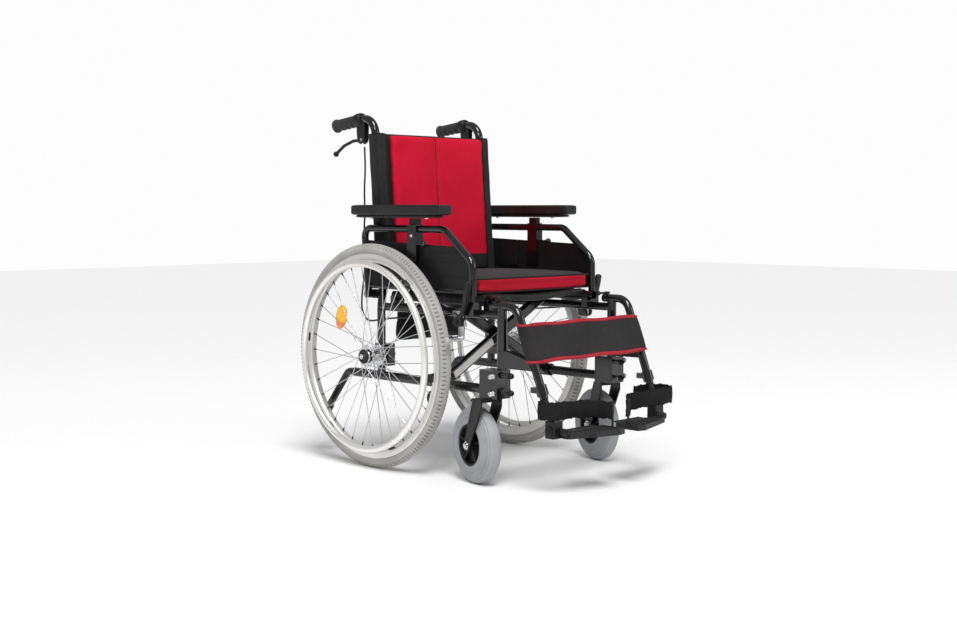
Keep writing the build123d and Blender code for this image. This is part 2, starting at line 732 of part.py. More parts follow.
def make_footplate():
    """The flip-up plate with its hinge sleeve, a raised rim and the post of the heel loop."""
    inner = footplate_gap / 2
    outer = hinge_plane - 4
    foot_y = leg_line(footplate_top + 20)[1]
    rear = foot_y - 18
    hinge_y, hinge_z = hinge_place
    bottom = footplate_top - footplate_thick
    outline = [(outer, rear), (outer, hinge_y - 30), (inner + 24, -foot_reach), (inner, -foot_reach + 6),
               (inner, rear + 8), (outer - 38, rear + 8), (outer - 38, rear)]
    plate = slab_z(outline, bottom, footplate_top)
    recess = [(outer - 14, rear - 8), (outer - 14, hinge_y - 18), (inner + 30, -foot_reach + 12),
              (inner + 8, -foot_reach + 16), (inner + 8, rear - 2)]
    plate -= slab_z(recess, footplate_top - 2, footplate_top + 1)
    plate += rod((hinge_plane, rear - 1, hinge_z), (hinge_plane, hinge_y - 26, hinge_z), 9)
    plate += block(outer - 16, hinge_plane, rear - 1, hinge_y - 26, bottom, footplate_top)
    plate -= rod((hinge_plane, rear + 20, hinge_z), (hinge_plane, hinge_y - 60, hinge_z), 5 + turning_gap)
    post = (inner + 5, -foot_reach + 42)
    plate += rod((*post, bottom + 2), (*post, footplate_top + heel_post_height), 3)
    return plate + ball((*post, footplate_top + heel_post_height), 4.5)


def make_heel_loop(gap):
    """The strap seen from above: from the post diagonally back and round the outside of the leg tube."""
    post = (footplate_gap / 2 + 5, -foot_reach + 42)
    leg = leg_line(footplate_top + 52)
    low = footplate_top + 30
    high = low + 44
    path = [(post[0] - 5, post[1] + 7), (post[0] + 8, post[1] + 6), (leg[0] - 14, leg[1] - gap - 7),
            (leg[0] + gap, leg[1] - gap - 3), (leg[0] + gap + 2, leg[1] + gap), (leg[0] - gap, leg[1] + gap + 3)]
    inner = [(x - 0.6, y + 2.6) for x, y in path[:3]] + [(leg[0] + gap - 2.8, leg[1] - gap + 0.6),
                                                        (leg[0] + gap - 1.2, leg[1] + gap - 2.6),
                                                        (leg[0] - gap, leg[1] + gap)]
    return slab_z(path + inner[::-1], low, high)


def make_calf_strap():
    """A wide band across the front of both hangers, returned round their outer sides."""
    low = leg_line(328)
    high = leg_line(414)
    ahead = hanger_tube / 2 + soft_gap
    half = frame_plane + 14
    outline = [(low[1] - ahead, low[2]), (high[1] - ahead, high[2]), (high[1] - ahead - 6, high[2]),
               (low[1] - ahead - 6, low[2])]
    strap = slab_x(outline, -half, half)
    side = [(low[1] - ahead - 6, low[2]), (high[1] - ahead - 6, high[2]), (high[1] + 14, high[2]),
            (low[1] + 14, low[2])]
    return strap + slab_x(side, half - 4, half) + slab_x(side, -half, 4 - half)


# ---- anti-tip ----

def anti_tip_points():
    bend = (frame_plane, 166, lower_height)
    length = 172
    down = math.radians(50.4)
    roller = (frame_plane, bend[1] + length * math.cos(down), lower_height - length * math.sin(down))
    return bend, roller


def make_anti_tip():
    """The bent tube that plugs into the lower side tube, with a fork for its roller."""
    bend, roller = anti_tip_points()
    radius = frame_tube / 2 - frame_wall - sliding_gap
    run = (Vector(*roller) - Vector(*bend)).normalized()
    end = Vector(*roller) - run * 34
    body = pipe([(frame_plane, 92, lower_height), bend, tuple(end)], [26], radius)
    body += rod(tuple(end), tuple(end + run * 5), 13)
    for side in (-1, 1):
        cheek = rod((frame_plane + side * 10.5, *roller[1:]), (frame_plane + side * 13, *roller[1:]), 8)
        tip = end + run * 3
        edge = Vector(0, run.Z, -run.Y) * 7
        outline = [(tip.Y + edge.Y, tip.Z + edge.Z), (roller[1] + edge.Y, roller[2] + edge.Z),
                   (roller[1] - edge.Y, roller[2] - edge.Z), (tip.Y - edge.Y, tip.Z - edge.Z)]
        x0 = frame_plane + min(side * 10.5, side * 13)
        body += cheek + slab_x(outline, x0, x0 + 2.5)
    return body + rod((frame_plane - 13, *roller[1:]), (frame_plane + 13, *roller[1:]), 4)


def make_anti_tip_roller():
    roller = anti_tip_points()[1]
    profile = [(-9, 4 + turning_gap), (9, 4 + turning_gap), (9, 22), (6, 25), (-6, 25), (-9, 22)]
    return turned(profile, roller)


# ---- writing the nodes ----

def write(name, piece):
    moved = Pos(0, axle_shift, 0) * piece
    solids = moved.solids()
    shape = solids[0] if len(solids) == 1 else Compound(children=list(solids))
    export_step(shape, f"parts/{name}.step")


def both_sides(name, piece):
    write(f"left_{name}", piece)
    write(f"right_{name}", mirror(piece, about=Plane.YZ))


def casters(name, piece):
    for side, sign in (("left", 1), ("right", -1)):
        placed = Pos(sign * stem_plane, stem_place, 0) * Rot(0, 0, caster_turn[side]) * piece
        write(f"{side}_{name}", placed)


def main():
    paired = {
        "frame": make_frame, "frame_hardware": make_frame_hardware, "tyre": make_tyre, "rim": make_rim,
        "hub": make_hub, "handrim": make_handrim, "axle_button": make_axle_button, "push_handle": make_push_handle,
        "attendant_lever": make_attendant_lever, "brake_cable": make_brake_cable,
        "armrest_frame": make_armrest_frame, "skirt_guard": make_skirt_guard, "armrest_post": make_armrest_post,
        "armrest_pad": make_armrest_pad, "park_brake_lever": make_park_brake_lever,
        "park_brake_shoe": make_park_brake_shoe, "hanger": make_hanger, "hanger_latch": make_hanger_latch,
        "leg_tube": make_leg_tube, "footplate": make_footplate,
        "anti_tip": make_anti_tip, "anti_tip_roller": make_anti_tip_roller,
    }
    for name, make in paired.items():
        both_sides(name, make())
    for name, make in {"caster_fork": make_caster_fork, "caster_tyre": make_caster_tyre,
                       "caster_hub": make_caster_hub}.items():
        casters(name, make())
    write("brace_a", make_brace(brace_place, True))
    write("brace_b", mirror(make_brace(brace_place + brace_thick + brace_gap, False), about=Plane.YZ))
    write("left_heel_loop", make_heel_loop(heel_loop_gap["left"]))
    write("right_heel_loop", mirror(make_heel_loop(heel_loop_gap["right"]), about=Plane.YZ))
    write("seat_sling", make_seat_sling())
    write("seat_cushion", make_seat_cushion())
    write("back_upholstery", make_back_upholstery())
    write("under_seat_bag", make_under_seat_bag())
    write("calf_strap", make_calf_strap())


main()
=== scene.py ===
# Looks of a folding wheelchair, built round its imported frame. Metres; the chair faces -Y and stands on z = 0.
import math
import bpy
import bmesh
import numpy as np
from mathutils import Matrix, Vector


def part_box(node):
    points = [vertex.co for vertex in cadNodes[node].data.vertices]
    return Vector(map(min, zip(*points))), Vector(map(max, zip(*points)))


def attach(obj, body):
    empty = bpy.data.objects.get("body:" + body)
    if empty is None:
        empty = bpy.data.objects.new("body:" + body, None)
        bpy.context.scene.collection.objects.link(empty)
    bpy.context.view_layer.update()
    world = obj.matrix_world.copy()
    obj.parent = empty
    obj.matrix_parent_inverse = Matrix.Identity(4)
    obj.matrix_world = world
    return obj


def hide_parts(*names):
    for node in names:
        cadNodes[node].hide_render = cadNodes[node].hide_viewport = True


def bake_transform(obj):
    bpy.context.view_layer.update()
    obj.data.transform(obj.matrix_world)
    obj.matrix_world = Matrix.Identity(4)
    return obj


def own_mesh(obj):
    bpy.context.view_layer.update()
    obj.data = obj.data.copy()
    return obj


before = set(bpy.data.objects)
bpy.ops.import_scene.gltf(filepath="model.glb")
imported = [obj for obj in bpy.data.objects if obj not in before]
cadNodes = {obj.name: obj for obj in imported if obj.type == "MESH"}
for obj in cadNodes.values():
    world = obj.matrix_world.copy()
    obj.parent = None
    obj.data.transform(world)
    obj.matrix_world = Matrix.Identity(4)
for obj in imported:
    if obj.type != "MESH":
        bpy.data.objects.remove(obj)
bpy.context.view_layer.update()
print("frame loaded,", len(cadNodes), "nodes")

handed = {"left": 1.0, "right": -1.0}
# the rear axle, which most places are measured from
axleY = (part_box("right_tyre")[0][1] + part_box("right_tyre")[1][1]) / 2


def corners(node):  # lowest and highest corner of a CAD node
    low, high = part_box(node)
    return np.array(low), np.array(high)


def middle(node):
    low, high = corners(node)
    return (low + high) / 2


def unit(v):  # each vector over its own length
    v = np.asarray(v, float)
    return v / np.maximum(np.linalg.norm(v, axis=-1, keepdims=True), 1e-12)


def smoothStep(x, start, end):  # 3t^2 - 2t^3 between start and end
    t = np.clip((x - start) / (end - start), 0, 1)
    return t * t * (3 - 2 * t)


def roundSection(radius, sides=16):  # a circle's points (radius cos a, radius sin a)
    a = 2 * np.pi * np.arange(sides) / sides
    return radius * np.stack([np.cos(a), np.sin(a)], -1)


def boxySection(halfWidth, halfHeight, power=4.0, sides=32):
    # a superellipse: cos and sin of the angle, each raised to 2 / power with its sign kept
    a = 2 * np.pi * (np.arange(sides) + 0.5) / sides
    c, s = np.cos(a), np.sin(a)
    return np.stack([halfWidth * np.sign(c) * abs(c) ** (2 / power),
                     halfHeight * np.sign(s) * abs(s) ** (2 / power)], -1)


def grid(points, wrapRows=False, wrapColumns=True, caps=True, finish=0):
    return dict(points=np.asarray(points, float), wrapRows=wrapRows, wrapColumns=wrapColumns, caps=caps,
                finish=finish)


def carried(path, section, up=(0, 0, 1), finish=0, caps=True, wrapRows=False):
    # section points (a, b) at each path point: point + a * (tangent x up) + b * (that sideways vector x
    # tangent)
    path = np.asarray(path, float)
    if wrapRows:
        tangent = unit(np.roll(path, -1, -2) - np.roll(path, 1, -2))
    else:
        tangent = unit(np.gradient(path, axis=-2))
    side = unit(np.cross(tangent, np.broadcast_to(np.asarray(up, float), tangent.shape)))
    lift = np.cross(side, tangent)
    section = np.asarray(section, float)
    sideways, raised = section[..., 0:1] * side[..., None, :], section[..., 1:2] * lift[..., None, :]
    points = path[..., None, :] + sideways + raised
    return grid(points, wrapRows=wrapRows, caps=caps and not wrapRows, finish=finish)


def lathe(profile, centre, axis=(1, 0, 0), sides=64, ring=False, finish=0):
    # profile points (along, radius) turned about the axis: centre + along * axis + radius * (cos a u + sin a
    # w)
    profile = np.asarray(profile, float)
    axis = unit(axis)
    u = unit(np.cross(axis, (0, 0, 1) if abs(axis[2]) < 0.9 else (0, 1, 0)))
    w = np.cross(axis, u)
    turn = roundSection(1.0, sides)
    rim = turn[:, :1] * u + turn[:, 1:] * w
    points = np.asarray(centre) + profile[:, 0, None, None] * axis + profile[:, 1, None, None] * rim
    return grid(points, wrapRows=ring, caps=not ring, finish=finish)


def softLine(points, count):
    # a Catmull-Rom curve through the points: a cubic in t between each pair, with its slopes from the
    # neighbours
    p = np.asarray(points, float)
    p = np.concatenate([2 * p[:1] - p[1:2], p, 2 * p[-1:] - p[-2:-1]])
    s = np.linspace(0, len(p) - 3 - 1e-9, count)
    i = s.astype(int)
    t = (s - i)[:, None]
    a, b, c, d = p[i], p[i + 1], p[i + 2], p[i + 3]
    return 0.5 * (2 * b + (c - a) * t + (2 * a - 5 * b + 4 * c - d) * t ** 2
                  + (3 * b - a - 3 * c + d) * t ** 3)


def pillow(centre, half, axes=None, power=4.0, endPower=8.0, rows=40, sides=48, finish=0):
    # a superellipsoid: the section's superellipse shrinks along the length as (1 - |v|^endPower)^(1 /
    # endPower)
    v = np.sin(np.linspace(-np.pi / 2, np.pi / 2, rows))
    v = np.sign(v) * abs(v) ** 0.7
    scale = np.maximum(1 - abs(v) ** endPower, 1e-9) ** (1 / endPower)
    section = boxySection(half[0], half[2], power, sides)
    axes = np.eye(3) if axes is None else np.asarray(axes, float)
    local = np.stack([scale[:, None] * section[:, 0], np.broadcast_to(v[:, None] * half[1], (rows, sides)),
                      scale[:, None] * section[:, 1]], -1)
    return grid(np.asarray(centre) + local @ axes, finish=finish)


def cloneFaces(g, start):
    # quads join each row and column to the next; a cap is a fan of triangles from the mean of an end row
    points = g["points"]
    rows, columns = points.shape[-3:-1]
    points = points.reshape(-1, rows, columns, 3)
    copies = len(points)
    across = np.linalg.norm(np.roll(points, -1, 2) - points, axis=3).mean(axis=(0, 1))
    along = np.linalg.norm(np.roll(points, -1, 1) - points, axis=3).mean(axis=(0, 2))
    across, along = np.append(0, np.cumsum(across)), np.append(0, np.cumsum(along))
    i, j = np.meshgrid(np.arange(rows if g["wrapRows"] else rows - 1),
                       np.arange(columns if g["wrapColumns"] else columns - 1), indexing="ij")
    i, j = i.ravel(), j.ravel()
    ni, nj = (i + 1) % rows, (j + 1) % columns
    quads = np.stack([i * columns + j, i * columns + nj, ni * columns + nj, ni * columns + j], 1)
    uv = np.stack([across[j], along[i], across[j + 1], along[i], across[j + 1], along[i + 1], across[j],
                   along[i + 1]], 1)
    shift = start + np.arange(copies)[:, None, None] * rows * columns
    vertices = [points.reshape(-1, 3)]
    faces = (quads + shift).reshape(-1, 4).tolist()
    uvs = [np.tile(uv.reshape(-1, 2), (copies, 1))]
    extra = start + points.size // 3
    for row in (0, rows - 1) if g["caps"] else ():
        ring = np.arange(columns)
        a = shift[:, :, 0] + row * columns + ring
        b = shift[:, :, 0] + row * columns + (ring + 1) % columns
        hub = np.broadcast_to((extra + np.arange(copies))[:, None], a.shape)
        fan = np.stack([hub, b, a] if row == 0 else [hub, a, b], -1).reshape(-1, 3)
        faces += fan.tolist()
        vertices.append(points[:, row].mean(axis=1))
        uvs.append(np.tile([[across[-1] / 2, along[row]], [0, along[row]], [0.001, along[row]]],
                           (len(fan), 1)))
        extra += copies
    return np.concatenate(vertices), faces, np.concatenate(uvs)


def makePiece(name, grids, finishes, body=None, replaces=(), sharp=50, closed=True):
    vertices, faces, uvs, which = [], [], [], []
    start = 0
    for g in grids:
        v, f, uv = cloneFaces(g, start)
        vertices.append(v)
        faces += f
        uvs.append(uv)
        which += [g["finish"]] * len(f)
        start += len(v)
    mesh = bpy.data.meshes.new(name)
    mesh.from_pydata(np.concatenate(vertices), [], faces)
    layer = mesh.uv_layers.new(name="UVMap")
    layer.data.foreach_set("uv", np.concatenate(uvs).astype(np.float32).ravel())
    mesh.polygons.foreach_set("material_index", np.array(which, np.int32))
    mesh.polygons.foreach_set("use_smooth", np.ones(len(faces), bool))
    for finish in finishes:
        mesh.materials.append(finish)
    piece = bpy.data.objects.new(name, mesh)
    bpy.context.scene.collection.objects.link(piece)
    if closed:
        outward(piece)
    mesh.set_sharp_from_angle(angle=math.radians(sharp))
    if body:
        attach(piece, body)
    if replaces:
        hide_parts(*([replaces] if isinstance(replaces, str) else replaces))
    return piece


def outward(piece):  # turns every closed shell's faces to point out
    b = bmesh.new()
    b.from_mesh(piece.data)
    bmesh.ops.recalc_face_normals(b, faces=b.faces)
    b.to_mesh(piece.data)
    b.free()


def applyModifiers(piece):
    graph = bpy.context.evaluated_depsgraph_get()
    made = bpy.data.meshes.new_from_object(piece.evaluated_get(graph))
    piece.modifiers.clear()
    piece.data = made


def thicken(piece, amount, offset=0.0):  # a cloth's own thickness
    m = piece.modifiers.new("thickness", "SOLIDIFY")
    m.thickness, m.offset, m.use_rim = amount, offset, True
    applyModifiers(piece)


def readPoints(mesh):
    co = np.zeros(len(mesh.vertices) * 3, np.float32)
    mesh.vertices.foreach_get("co", co)
    return co.reshape(-1, 3).astype(float)


def boxUv(piece):
    # each corner's UV is its place along the two axes that its face looks along least, in metres
    mesh = piece.data
    normals = np.zeros(len(mesh.polygons) * 3, np.float32)
    mesh.polygons.foreach_get("normal", normals)
    total = np.zeros(len(mesh.polygons), np.int32)
    mesh.polygons.foreach_get("loop_total", total)
    most = np.repeat(abs(normals.reshape(-1, 3)).argmax(1), total)
    at = np.zeros(len(mesh.loops), np.int32)
    mesh.loops.foreach_get("vertex_index", at)
    co = readPoints(mesh)[at]
    u = np.where(most == 0, co[:, 1], co[:, 0])
    v = np.where(most == 2, co[:, 1], co[:, 2])
    layer = mesh.uv_layers.get("UVMap") or mesh.uv_layers.new(name="UVMap")
    layer.data.foreach_set("uv", np.stack([u, v], 1).astype(np.float32).ravel())


def inflate(piece, puff, flatSide=None):
    # remeshed in small voxels, then blown up as cloth, with each point's move capped; flatSide keeps what
    # rests on something
    remesh = piece.modifiers.new("remesh", "REMESH")
    remesh.mode, remesh.voxel_size = "VOXEL", puff["voxel"]
    applyModifiers(piece)
    before = readPoints(piece.data)
    cloth = piece.modifiers.new("cloth", "CLOTH")
    s = cloth.settings
    s.quality = 5
    s.mass = 0.3
    s.use_pressure, s.uniform_pressure_force = True, puff["pressure"]
    s.tension_stiffness = s.compression_stiffness = puff["stiffness"]
    s.shear_stiffness = puff["stiffness"] / 3
    s.bending_stiffness = puff["bending"]
    s.effector_weights.gravity = 0
    cloth.collision_settings.use_collision = False
    for step in range(1, 21):
        bpy.context.scene.frame_set(step)
    graph = bpy.context.evaluated_depsgraph_get()
    moved = bpy.data.meshes.new_from_object(piece.evaluated_get(graph))
    step = readPoints(moved) - before
    piece.modifiers.clear()
    bpy.context.scene.frame_set(1)
    far = np.linalg.norm(step, axis=1, keepdims=True)
    step *= np.minimum(1, puff["cap"] / np.maximum(far, 1e-9))
    after = before + step
    if flatSide is not None:
        after = flatSide(before, after)
    piece.data.vertices.foreach_set("co", after.astype(np.float32).ravel())
    for p in piece.data.polygons:
        p.use_smooth = True
    sub = piece.modifiers.new("smooth", "SUBSURF")
    sub.levels = sub.render_levels = 1
    applyModifiers(piece)
    outward(piece)


def makeFinish(name, look):
    # colour drifts between two tones by a noise, roughness by another, and the bump adds a grain to the
    # pattern
    m = bpy.data.materials.new(name)
    m.use_nodes = True
    tree = m.node_tree
    shader = tree.nodes["Principled BSDF"]
    at = tree.nodes.new("ShaderNodeTexCoord")
    place = at.outputs["UV" if look.get("onUv") else "Object"]

    def add(kind, links=(), **values):
        n = tree.nodes.new(kind)
        for key, value in values.items():
            if key in n.inputs:
                n.inputs[key].default_value = value
            else:
                setattr(n, key, value)
        for socket, source in links:
            tree.links.new(source, n.inputs[socket])
        return n

    def mix(fac, a, b, blend="MIX"):
        n = add("ShaderNodeMix", data_type="RGBA", blend_type=blend)
        for index, source in ((0, fac), (6, a), (7, b)):
            if isinstance(source, bpy.types.NodeSocket):
                tree.links.new(source, n.inputs[index])
            else:
                n.inputs[index].default_value = source
        return n.outputs[2]

    def ranged(source, low, high):  # 0 at low, 1 at high, straight between
        return add("ShaderNodeMapRange", [("Value", source)],
                   **{"From Min": low, "From Max": high}).outputs[0]

    def rgba(tone):
        return tuple(tone) + (1,)

    stretch = add("ShaderNodeMapping", [("Vector", at.outputs["Object"])],
                  Scale=look.get("stretch", (1, 1, 1)))
    drift = add("ShaderNodeTexNoise", [("Vector", at.outputs["Object"])], Scale=look.get("driftScale", 9.0),
                Detail=4.0)
    band = ranged(drift.outputs["Fac"], 0.32, 0.68)
    colour = mix(band, rgba(look["tone"]), rgba(look["other"]))
    grain = add("ShaderNodeTexNoise", [("Vector", stretch.outputs[0])], Scale=look.get("grainScale", 700.0),
                Detail=3.0)
    height = grain.outputs["Fac"]
    strength, distance = look.get("bump", 0.15), look.get("bumpDistance", 0.0004)

    pattern = look.get("pattern")
    if pattern == "spacer":  # open knit: rows of small holes, every second row shifted
        turned = add("ShaderNodeMapping", [("Vector", place)], Scale=(1.0, 1.0, 1.0),
                     Rotation=(0, 0, math.radians(45)))
        holes = add("ShaderNodeTexVoronoi", [("Vector", turned.outputs[0])], Scale=look["pitch"],
                    Randomness=0.12, voronoi_dimensions="2D")
        thread = ranged(holes.outputs["Distance"], 0.16, 0.42)
        colour = mix(thread, mix(1.0, colour, rgba(look["hole"]), "MULTIPLY"), colour)
        height = add("ShaderNodeMath", [(0, thread), (1, grain.outputs["Fac"])],
                     operation="MULTIPLY_ADD").outputs[0]
    if pattern == "weave":  # warp and weft: two sine bands at right angles
        warp = add("ShaderNodeTexWave", [("Vector", place)], Scale=look["pitch"], bands_direction="X")
        weft = add("ShaderNodeTexWave", [("Vector", place)], Scale=look["pitch"] * 0.6, bands_direction="Y")
        both = add("ShaderNodeMath", [(0, warp.outputs["Fac"]), (1, weft.outputs["Fac"])],
                   operation="MULTIPLY")
        colour = mix(both.outputs[0], mix(1.0, colour, rgba(look["hole"]), "MULTIPLY"), colour)
        height = add("ShaderNodeMath", [(0, both.outputs[0]), (1, grain.outputs["Fac"])],
                     operation="MULTIPLY_ADD").outputs[0]
    if pattern == "hide":  # pebbled skin of a moulded pad
        pebble = add("ShaderNodeTexVoronoi", [("Vector", at.outputs["Object"])], Scale=look["pitch"],
                     feature="SMOOTH_F1")
        height = add("ShaderNodeMath", [(0, pebble.outputs["Distance"]), (1, grain.outputs["Fac"])],
                     operation="ADD").outputs[0]
    if "mark" in look:  # a second colour below a height, and only ahead of a depth if one is given
        mark = look["mark"]
        xyz = add("ShaderNodeSeparateXYZ", [("Vector", at.outputs["Object"])])
        keep = ranged(xyz.outputs[mark["axis"]], mark["from"], mark["to"])
        lit = mix(band, rgba(mark["tone"]), rgba(mark["other"]))
        if "hole" in mark:
            lit = mix(thread, mix(1.0, lit, rgba(mark["hole"]), "MULTIPLY"), lit)
        if "behind" in mark:
            rear = ranged(xyz.outputs["Y"], mark["behind"], mark["behind"] + 0.001)
            keep = add("ShaderNodeMath", [(0, keep), (1, rear)], operation="MAXIMUM").outputs[0]
        colour = mix(keep, lit, colour)
    tree.links.new(colour, shader.inputs["Base Color"])

    rough = add("ShaderNodeTexNoise", [("Vector", stretch.outputs[0])], Scale=look.get("roughScale", 60.0),
                Detail=5.0)
    spread = add("ShaderNodeMapRange", [("Value", rough.outputs["Fac"])])
    for socket, value in zip(("From Min", "From Max", "To Min", "To Max"), (0.3, 0.7, *look["rough"])):
        spread.inputs[socket].default_value = value
    tree.links.new(spread.outputs[0], shader.inputs["Roughness"])
    bump = add("ShaderNodeBump", [("Height", height)], Strength=strength, Distance=distance)
    tree.links.new(bump.outputs[0], shader.inputs["Normal"])
    shader.inputs["Metallic"].default_value = look.get("metal", 0.0)
    for socket, key in (("Coat Weight", "coat"), ("Coat Roughness", "coatRough"), ("Sheen Weight", "sheen"),
                        ("Sheen Roughness", "sheenRough"), ("Specular IOR Level", "specular"),
                        ("Subsurface Weight", "glow"), ("Anisotropic", "drawn")):
        if key in look:
            shader.inputs[socket].default_value = look[key]
    return m


looks = {
    "gloss black paint": dict(specular=0.4, tone=(0.0025, 0.0025, 0.003), other=(0.005, 0.005, 0.0055),
                              rough=(0.12, 0.2), coat=0.5, coatRough=0.06,
                              grainScale=420, bump=0.04, bumpDistance=0.0002, roughScale=24),
    "satin black steel": dict(specular=0.3, tone=(0.006, 0.006, 0.0065), other=(0.011, 0.011, 0.012),
                              rough=(0.26, 0.42), grainScale=900, bump=0.08,
                              bumpDistance=0.0002),
    "bright steel": dict(tone=(0.62, 0.62, 0.64), other=(0.72, 0.72, 0.73), metal=1.0, rough=(0.14, 0.30),
                         grainScale=500, bump=0.05,
                         bumpDistance=0.0001),
    "chromed spokes": dict(tone=(0.56, 0.57, 0.59), other=(0.70, 0.70, 0.72), metal=1.0, rough=(0.26, 0.36),
                           grainScale=300, bump=0.03,
                           bumpDistance=0.0001),
    "satin alloy": dict(tone=(0.80, 0.79, 0.77), other=(0.88, 0.87, 0.85), metal=0.75, rough=(0.30, 0.44),
                        grainScale=1200,
                        stretch=(0.15, 1, 1), bump=0.06, bumpDistance=0.0001),
    "anodised rim": dict(tone=(0.72, 0.71, 0.69), other=(0.80, 0.79, 0.77), metal=0.7, rough=(0.34, 0.5),
                         grainScale=1500,
                         stretch=(0.2, 1, 1), bump=0.08, bumpDistance=0.0001),
    "grey tyre rubber": dict(tone=(0.315, 0.308, 0.293), other=(0.40, 0.392, 0.375), rough=(0.66, 0.86),
                             driftScale=14, grainScale=1800,
                             bump=0.25, bumpDistance=0.0003),
    "grey caster tyre": dict(tone=(0.27, 0.277, 0.295), other=(0.33, 0.337, 0.35), rough=(0.42, 0.58),
                             driftScale=20, grainScale=1500,
                             bump=0.1, bumpDistance=0.0002),
    "black moulded plastic": dict(specular=0.3, tone=(0.007, 0.007, 0.0075), other=(0.013, 0.013, 0.0135),
                                  rough=(0.34, 0.5), grainScale=2200,
                                  bump=0.14, bumpDistance=0.0002),
    "grey moulded plastic": dict(specular=0.2, tone=(0.016, 0.016, 0.017), other=(0.028, 0.028, 0.029),
                                 rough=(0.4, 0.56), grainScale=2000,
                                 bump=0.14, bumpDistance=0.0002),
    "guard plastic": dict(specular=0.2, tone=(0.006, 0.006, 0.0065), other=(0.011, 0.011, 0.012),
                          rough=(0.34, 0.48), grainScale=2600, bump=0.12,
                          bumpDistance=0.0002, driftScale=5),
    "grip rubber": dict(specular=0.2, tone=(0.026, 0.0255, 0.0265), other=(0.040, 0.0395, 0.0405),
                        rough=(0.5, 0.66), grainScale=1600, bump=0.2,
                        bumpDistance=0.0003),
    "pad skin": dict(specular=0.3, tone=(0.009, 0.0085, 0.0085), other=(0.016, 0.0155, 0.015),
                     rough=(0.34, 0.48), pattern="hide", pitch=900, bump=0.12,
                     bumpDistance=0.0003),
    "sling cloth": dict(specular=0.3, tone=(0.012, 0.012, 0.013), other=(0.022, 0.022, 0.023),
                        rough=(0.46, 0.62), onUv=True, pattern="weave",
                        pitch=180, hole=(0.5, 0.5, 0.5), bump=0.2, bumpDistance=0.0004, sheen=0.1),
    "bag cloth": dict(specular=0.2, tone=(0.010, 0.010, 0.011), other=(0.019, 0.019, 0.020),
                      rough=(0.6, 0.76), onUv=True, pattern="weave", pitch=150,
                      hole=(0.45, 0.45, 0.45), bump=0.3, bumpDistance=0.0005, sheen=0.15),
    "black knit": dict(specular=0.2, tone=(0.015, 0.0135, 0.0145), other=(0.024, 0.022, 0.0235),
                       rough=(0.72, 0.88), onUv=True, pattern="spacer",
                       pitch=380, hole=(0.2, 0.2, 0.2), bump=0.5, bumpDistance=0.0006, sheen=0.06,
                       sheenRough=0.5),
    "crimson knit": dict(tone=(0.50, 0.0012, 0.022), other=(0.58, 0.0022, 0.030), rough=(0.72, 0.88),
                         onUv=True, pattern="spacer",
                         pitch=380, hole=(0.66, 0.4, 0.5), bump=0.4, bumpDistance=0.0006, driftScale=5,
                         specular=0.2),
    "crimson piping": dict(tone=(0.42, 0.002, 0.020), other=(0.52, 0.003, 0.026), rough=(0.6, 0.78),
                           onUv=True, pattern="weave",
                           pitch=260, hole=(0.6, 0.4, 0.4), bump=0.3, bumpDistance=0.0004),
    "black piping": dict(specular=0.2, tone=(0.009, 0.009, 0.010), other=(0.016, 0.016, 0.017),
                         rough=(0.5, 0.7), onUv=True, pattern="weave",
                         pitch=260, hole=(0.6, 0.6, 0.6), bump=0.3, bumpDistance=0.0004),
    "black webbing": dict(specular=0.2, tone=(0.009, 0.009, 0.0095), other=(0.017, 0.017, 0.018),
                          rough=(0.7, 0.88), onUv=True, pattern="weave",
                          pitch=130, hole=(0.4, 0.4, 0.4), bump=0.6, bumpDistance=0.0008, driftScale=30),
    "cable cover": dict(specular=0.3, tone=(0.008, 0.008, 0.009), other=(0.014, 0.014, 0.015),
                        rough=(0.3, 0.42), grainScale=900, bump=0.1,
                        bumpDistance=0.0002),
    "amber reflector": dict(tone=(1.0, 0.50, 0.005), other=(1.0, 0.60, 0.012), rough=(0.12, 0.22), coat=0.6,
                            coatRough=0.05,
                            pattern="spacer", pitch=420, hole=(0.95, 0.8, 0.5), bump=0.4, bumpDistance=0.0005,
                            onUv=True,
                            mark={"axis": "Z", "from": 0.3885, "to": 0.3915, "tone": (0.95, 0.19, 0.004),
                                  "other": (0.98, 0.26, 0.006)}),
    # near black: the spoke nipples, and painted shade inside the fork holes and the bracket slots
    "dark recess": dict(tone=(0.004, 0.004, 0.004), other=(0.008, 0.008, 0.008), rough=(0.5, 0.7), bump=0.1),
}
finishes = {name: makeFinish(name, look) for name, look in looks.items()}
print("finishes made:", len(finishes))

# CAD nodes that keep their own shape, by the end of their name
nodeFinishes = {
    "frame": "gloss black paint", "frame_hardware": "bright steel", "axle_button": "bright steel",
    "caster_fork": "satin black steel",
    "caster_hub": "black moulded plastic", "attendant_lever": "satin black steel",
    "armrest_frame": "gloss black paint",
    "skirt_guard": "guard plastic", "armrest_post": "satin black steel", "park_brake_shoe": "bright steel",
    "hanger": "gloss black paint",
    "hanger_latch": "black moulded plastic", "leg_tube": "satin black steel",
    "footplate": "grey moulded plastic",
    "anti_tip": "gloss black paint", "anti_tip_roller": "black moulded plastic",
    "brace_a": "gloss black paint",
    "brace_b": "gloss black paint",
}
for name, node in cadNodes.items():
    key = name.replace("left_", "").replace("right_", "")
    if key in nodeFinishes:
        node.data.materials.clear()
        node.data.materials.append(finishes[nodeFinishes[key]])

view = {"place": (-2.6198, -2.5835, 0.7024), "lens": 50.46, "turn": math.radians(44.82),
        "down": math.radians(4.60)}
camera = bpy.data.objects.new("camera", bpy.data.cameras.new("camera"))
camera.location = view["place"]
camera.rotation_euler = (math.pi / 2 - view["down"], 0, -view["turn"])
camera.data.lens, camera.data.sensor_width = view["lens"], 36
bpy.context.scene.collection.objects.link(camera)
bpy.context.scene.camera = camera

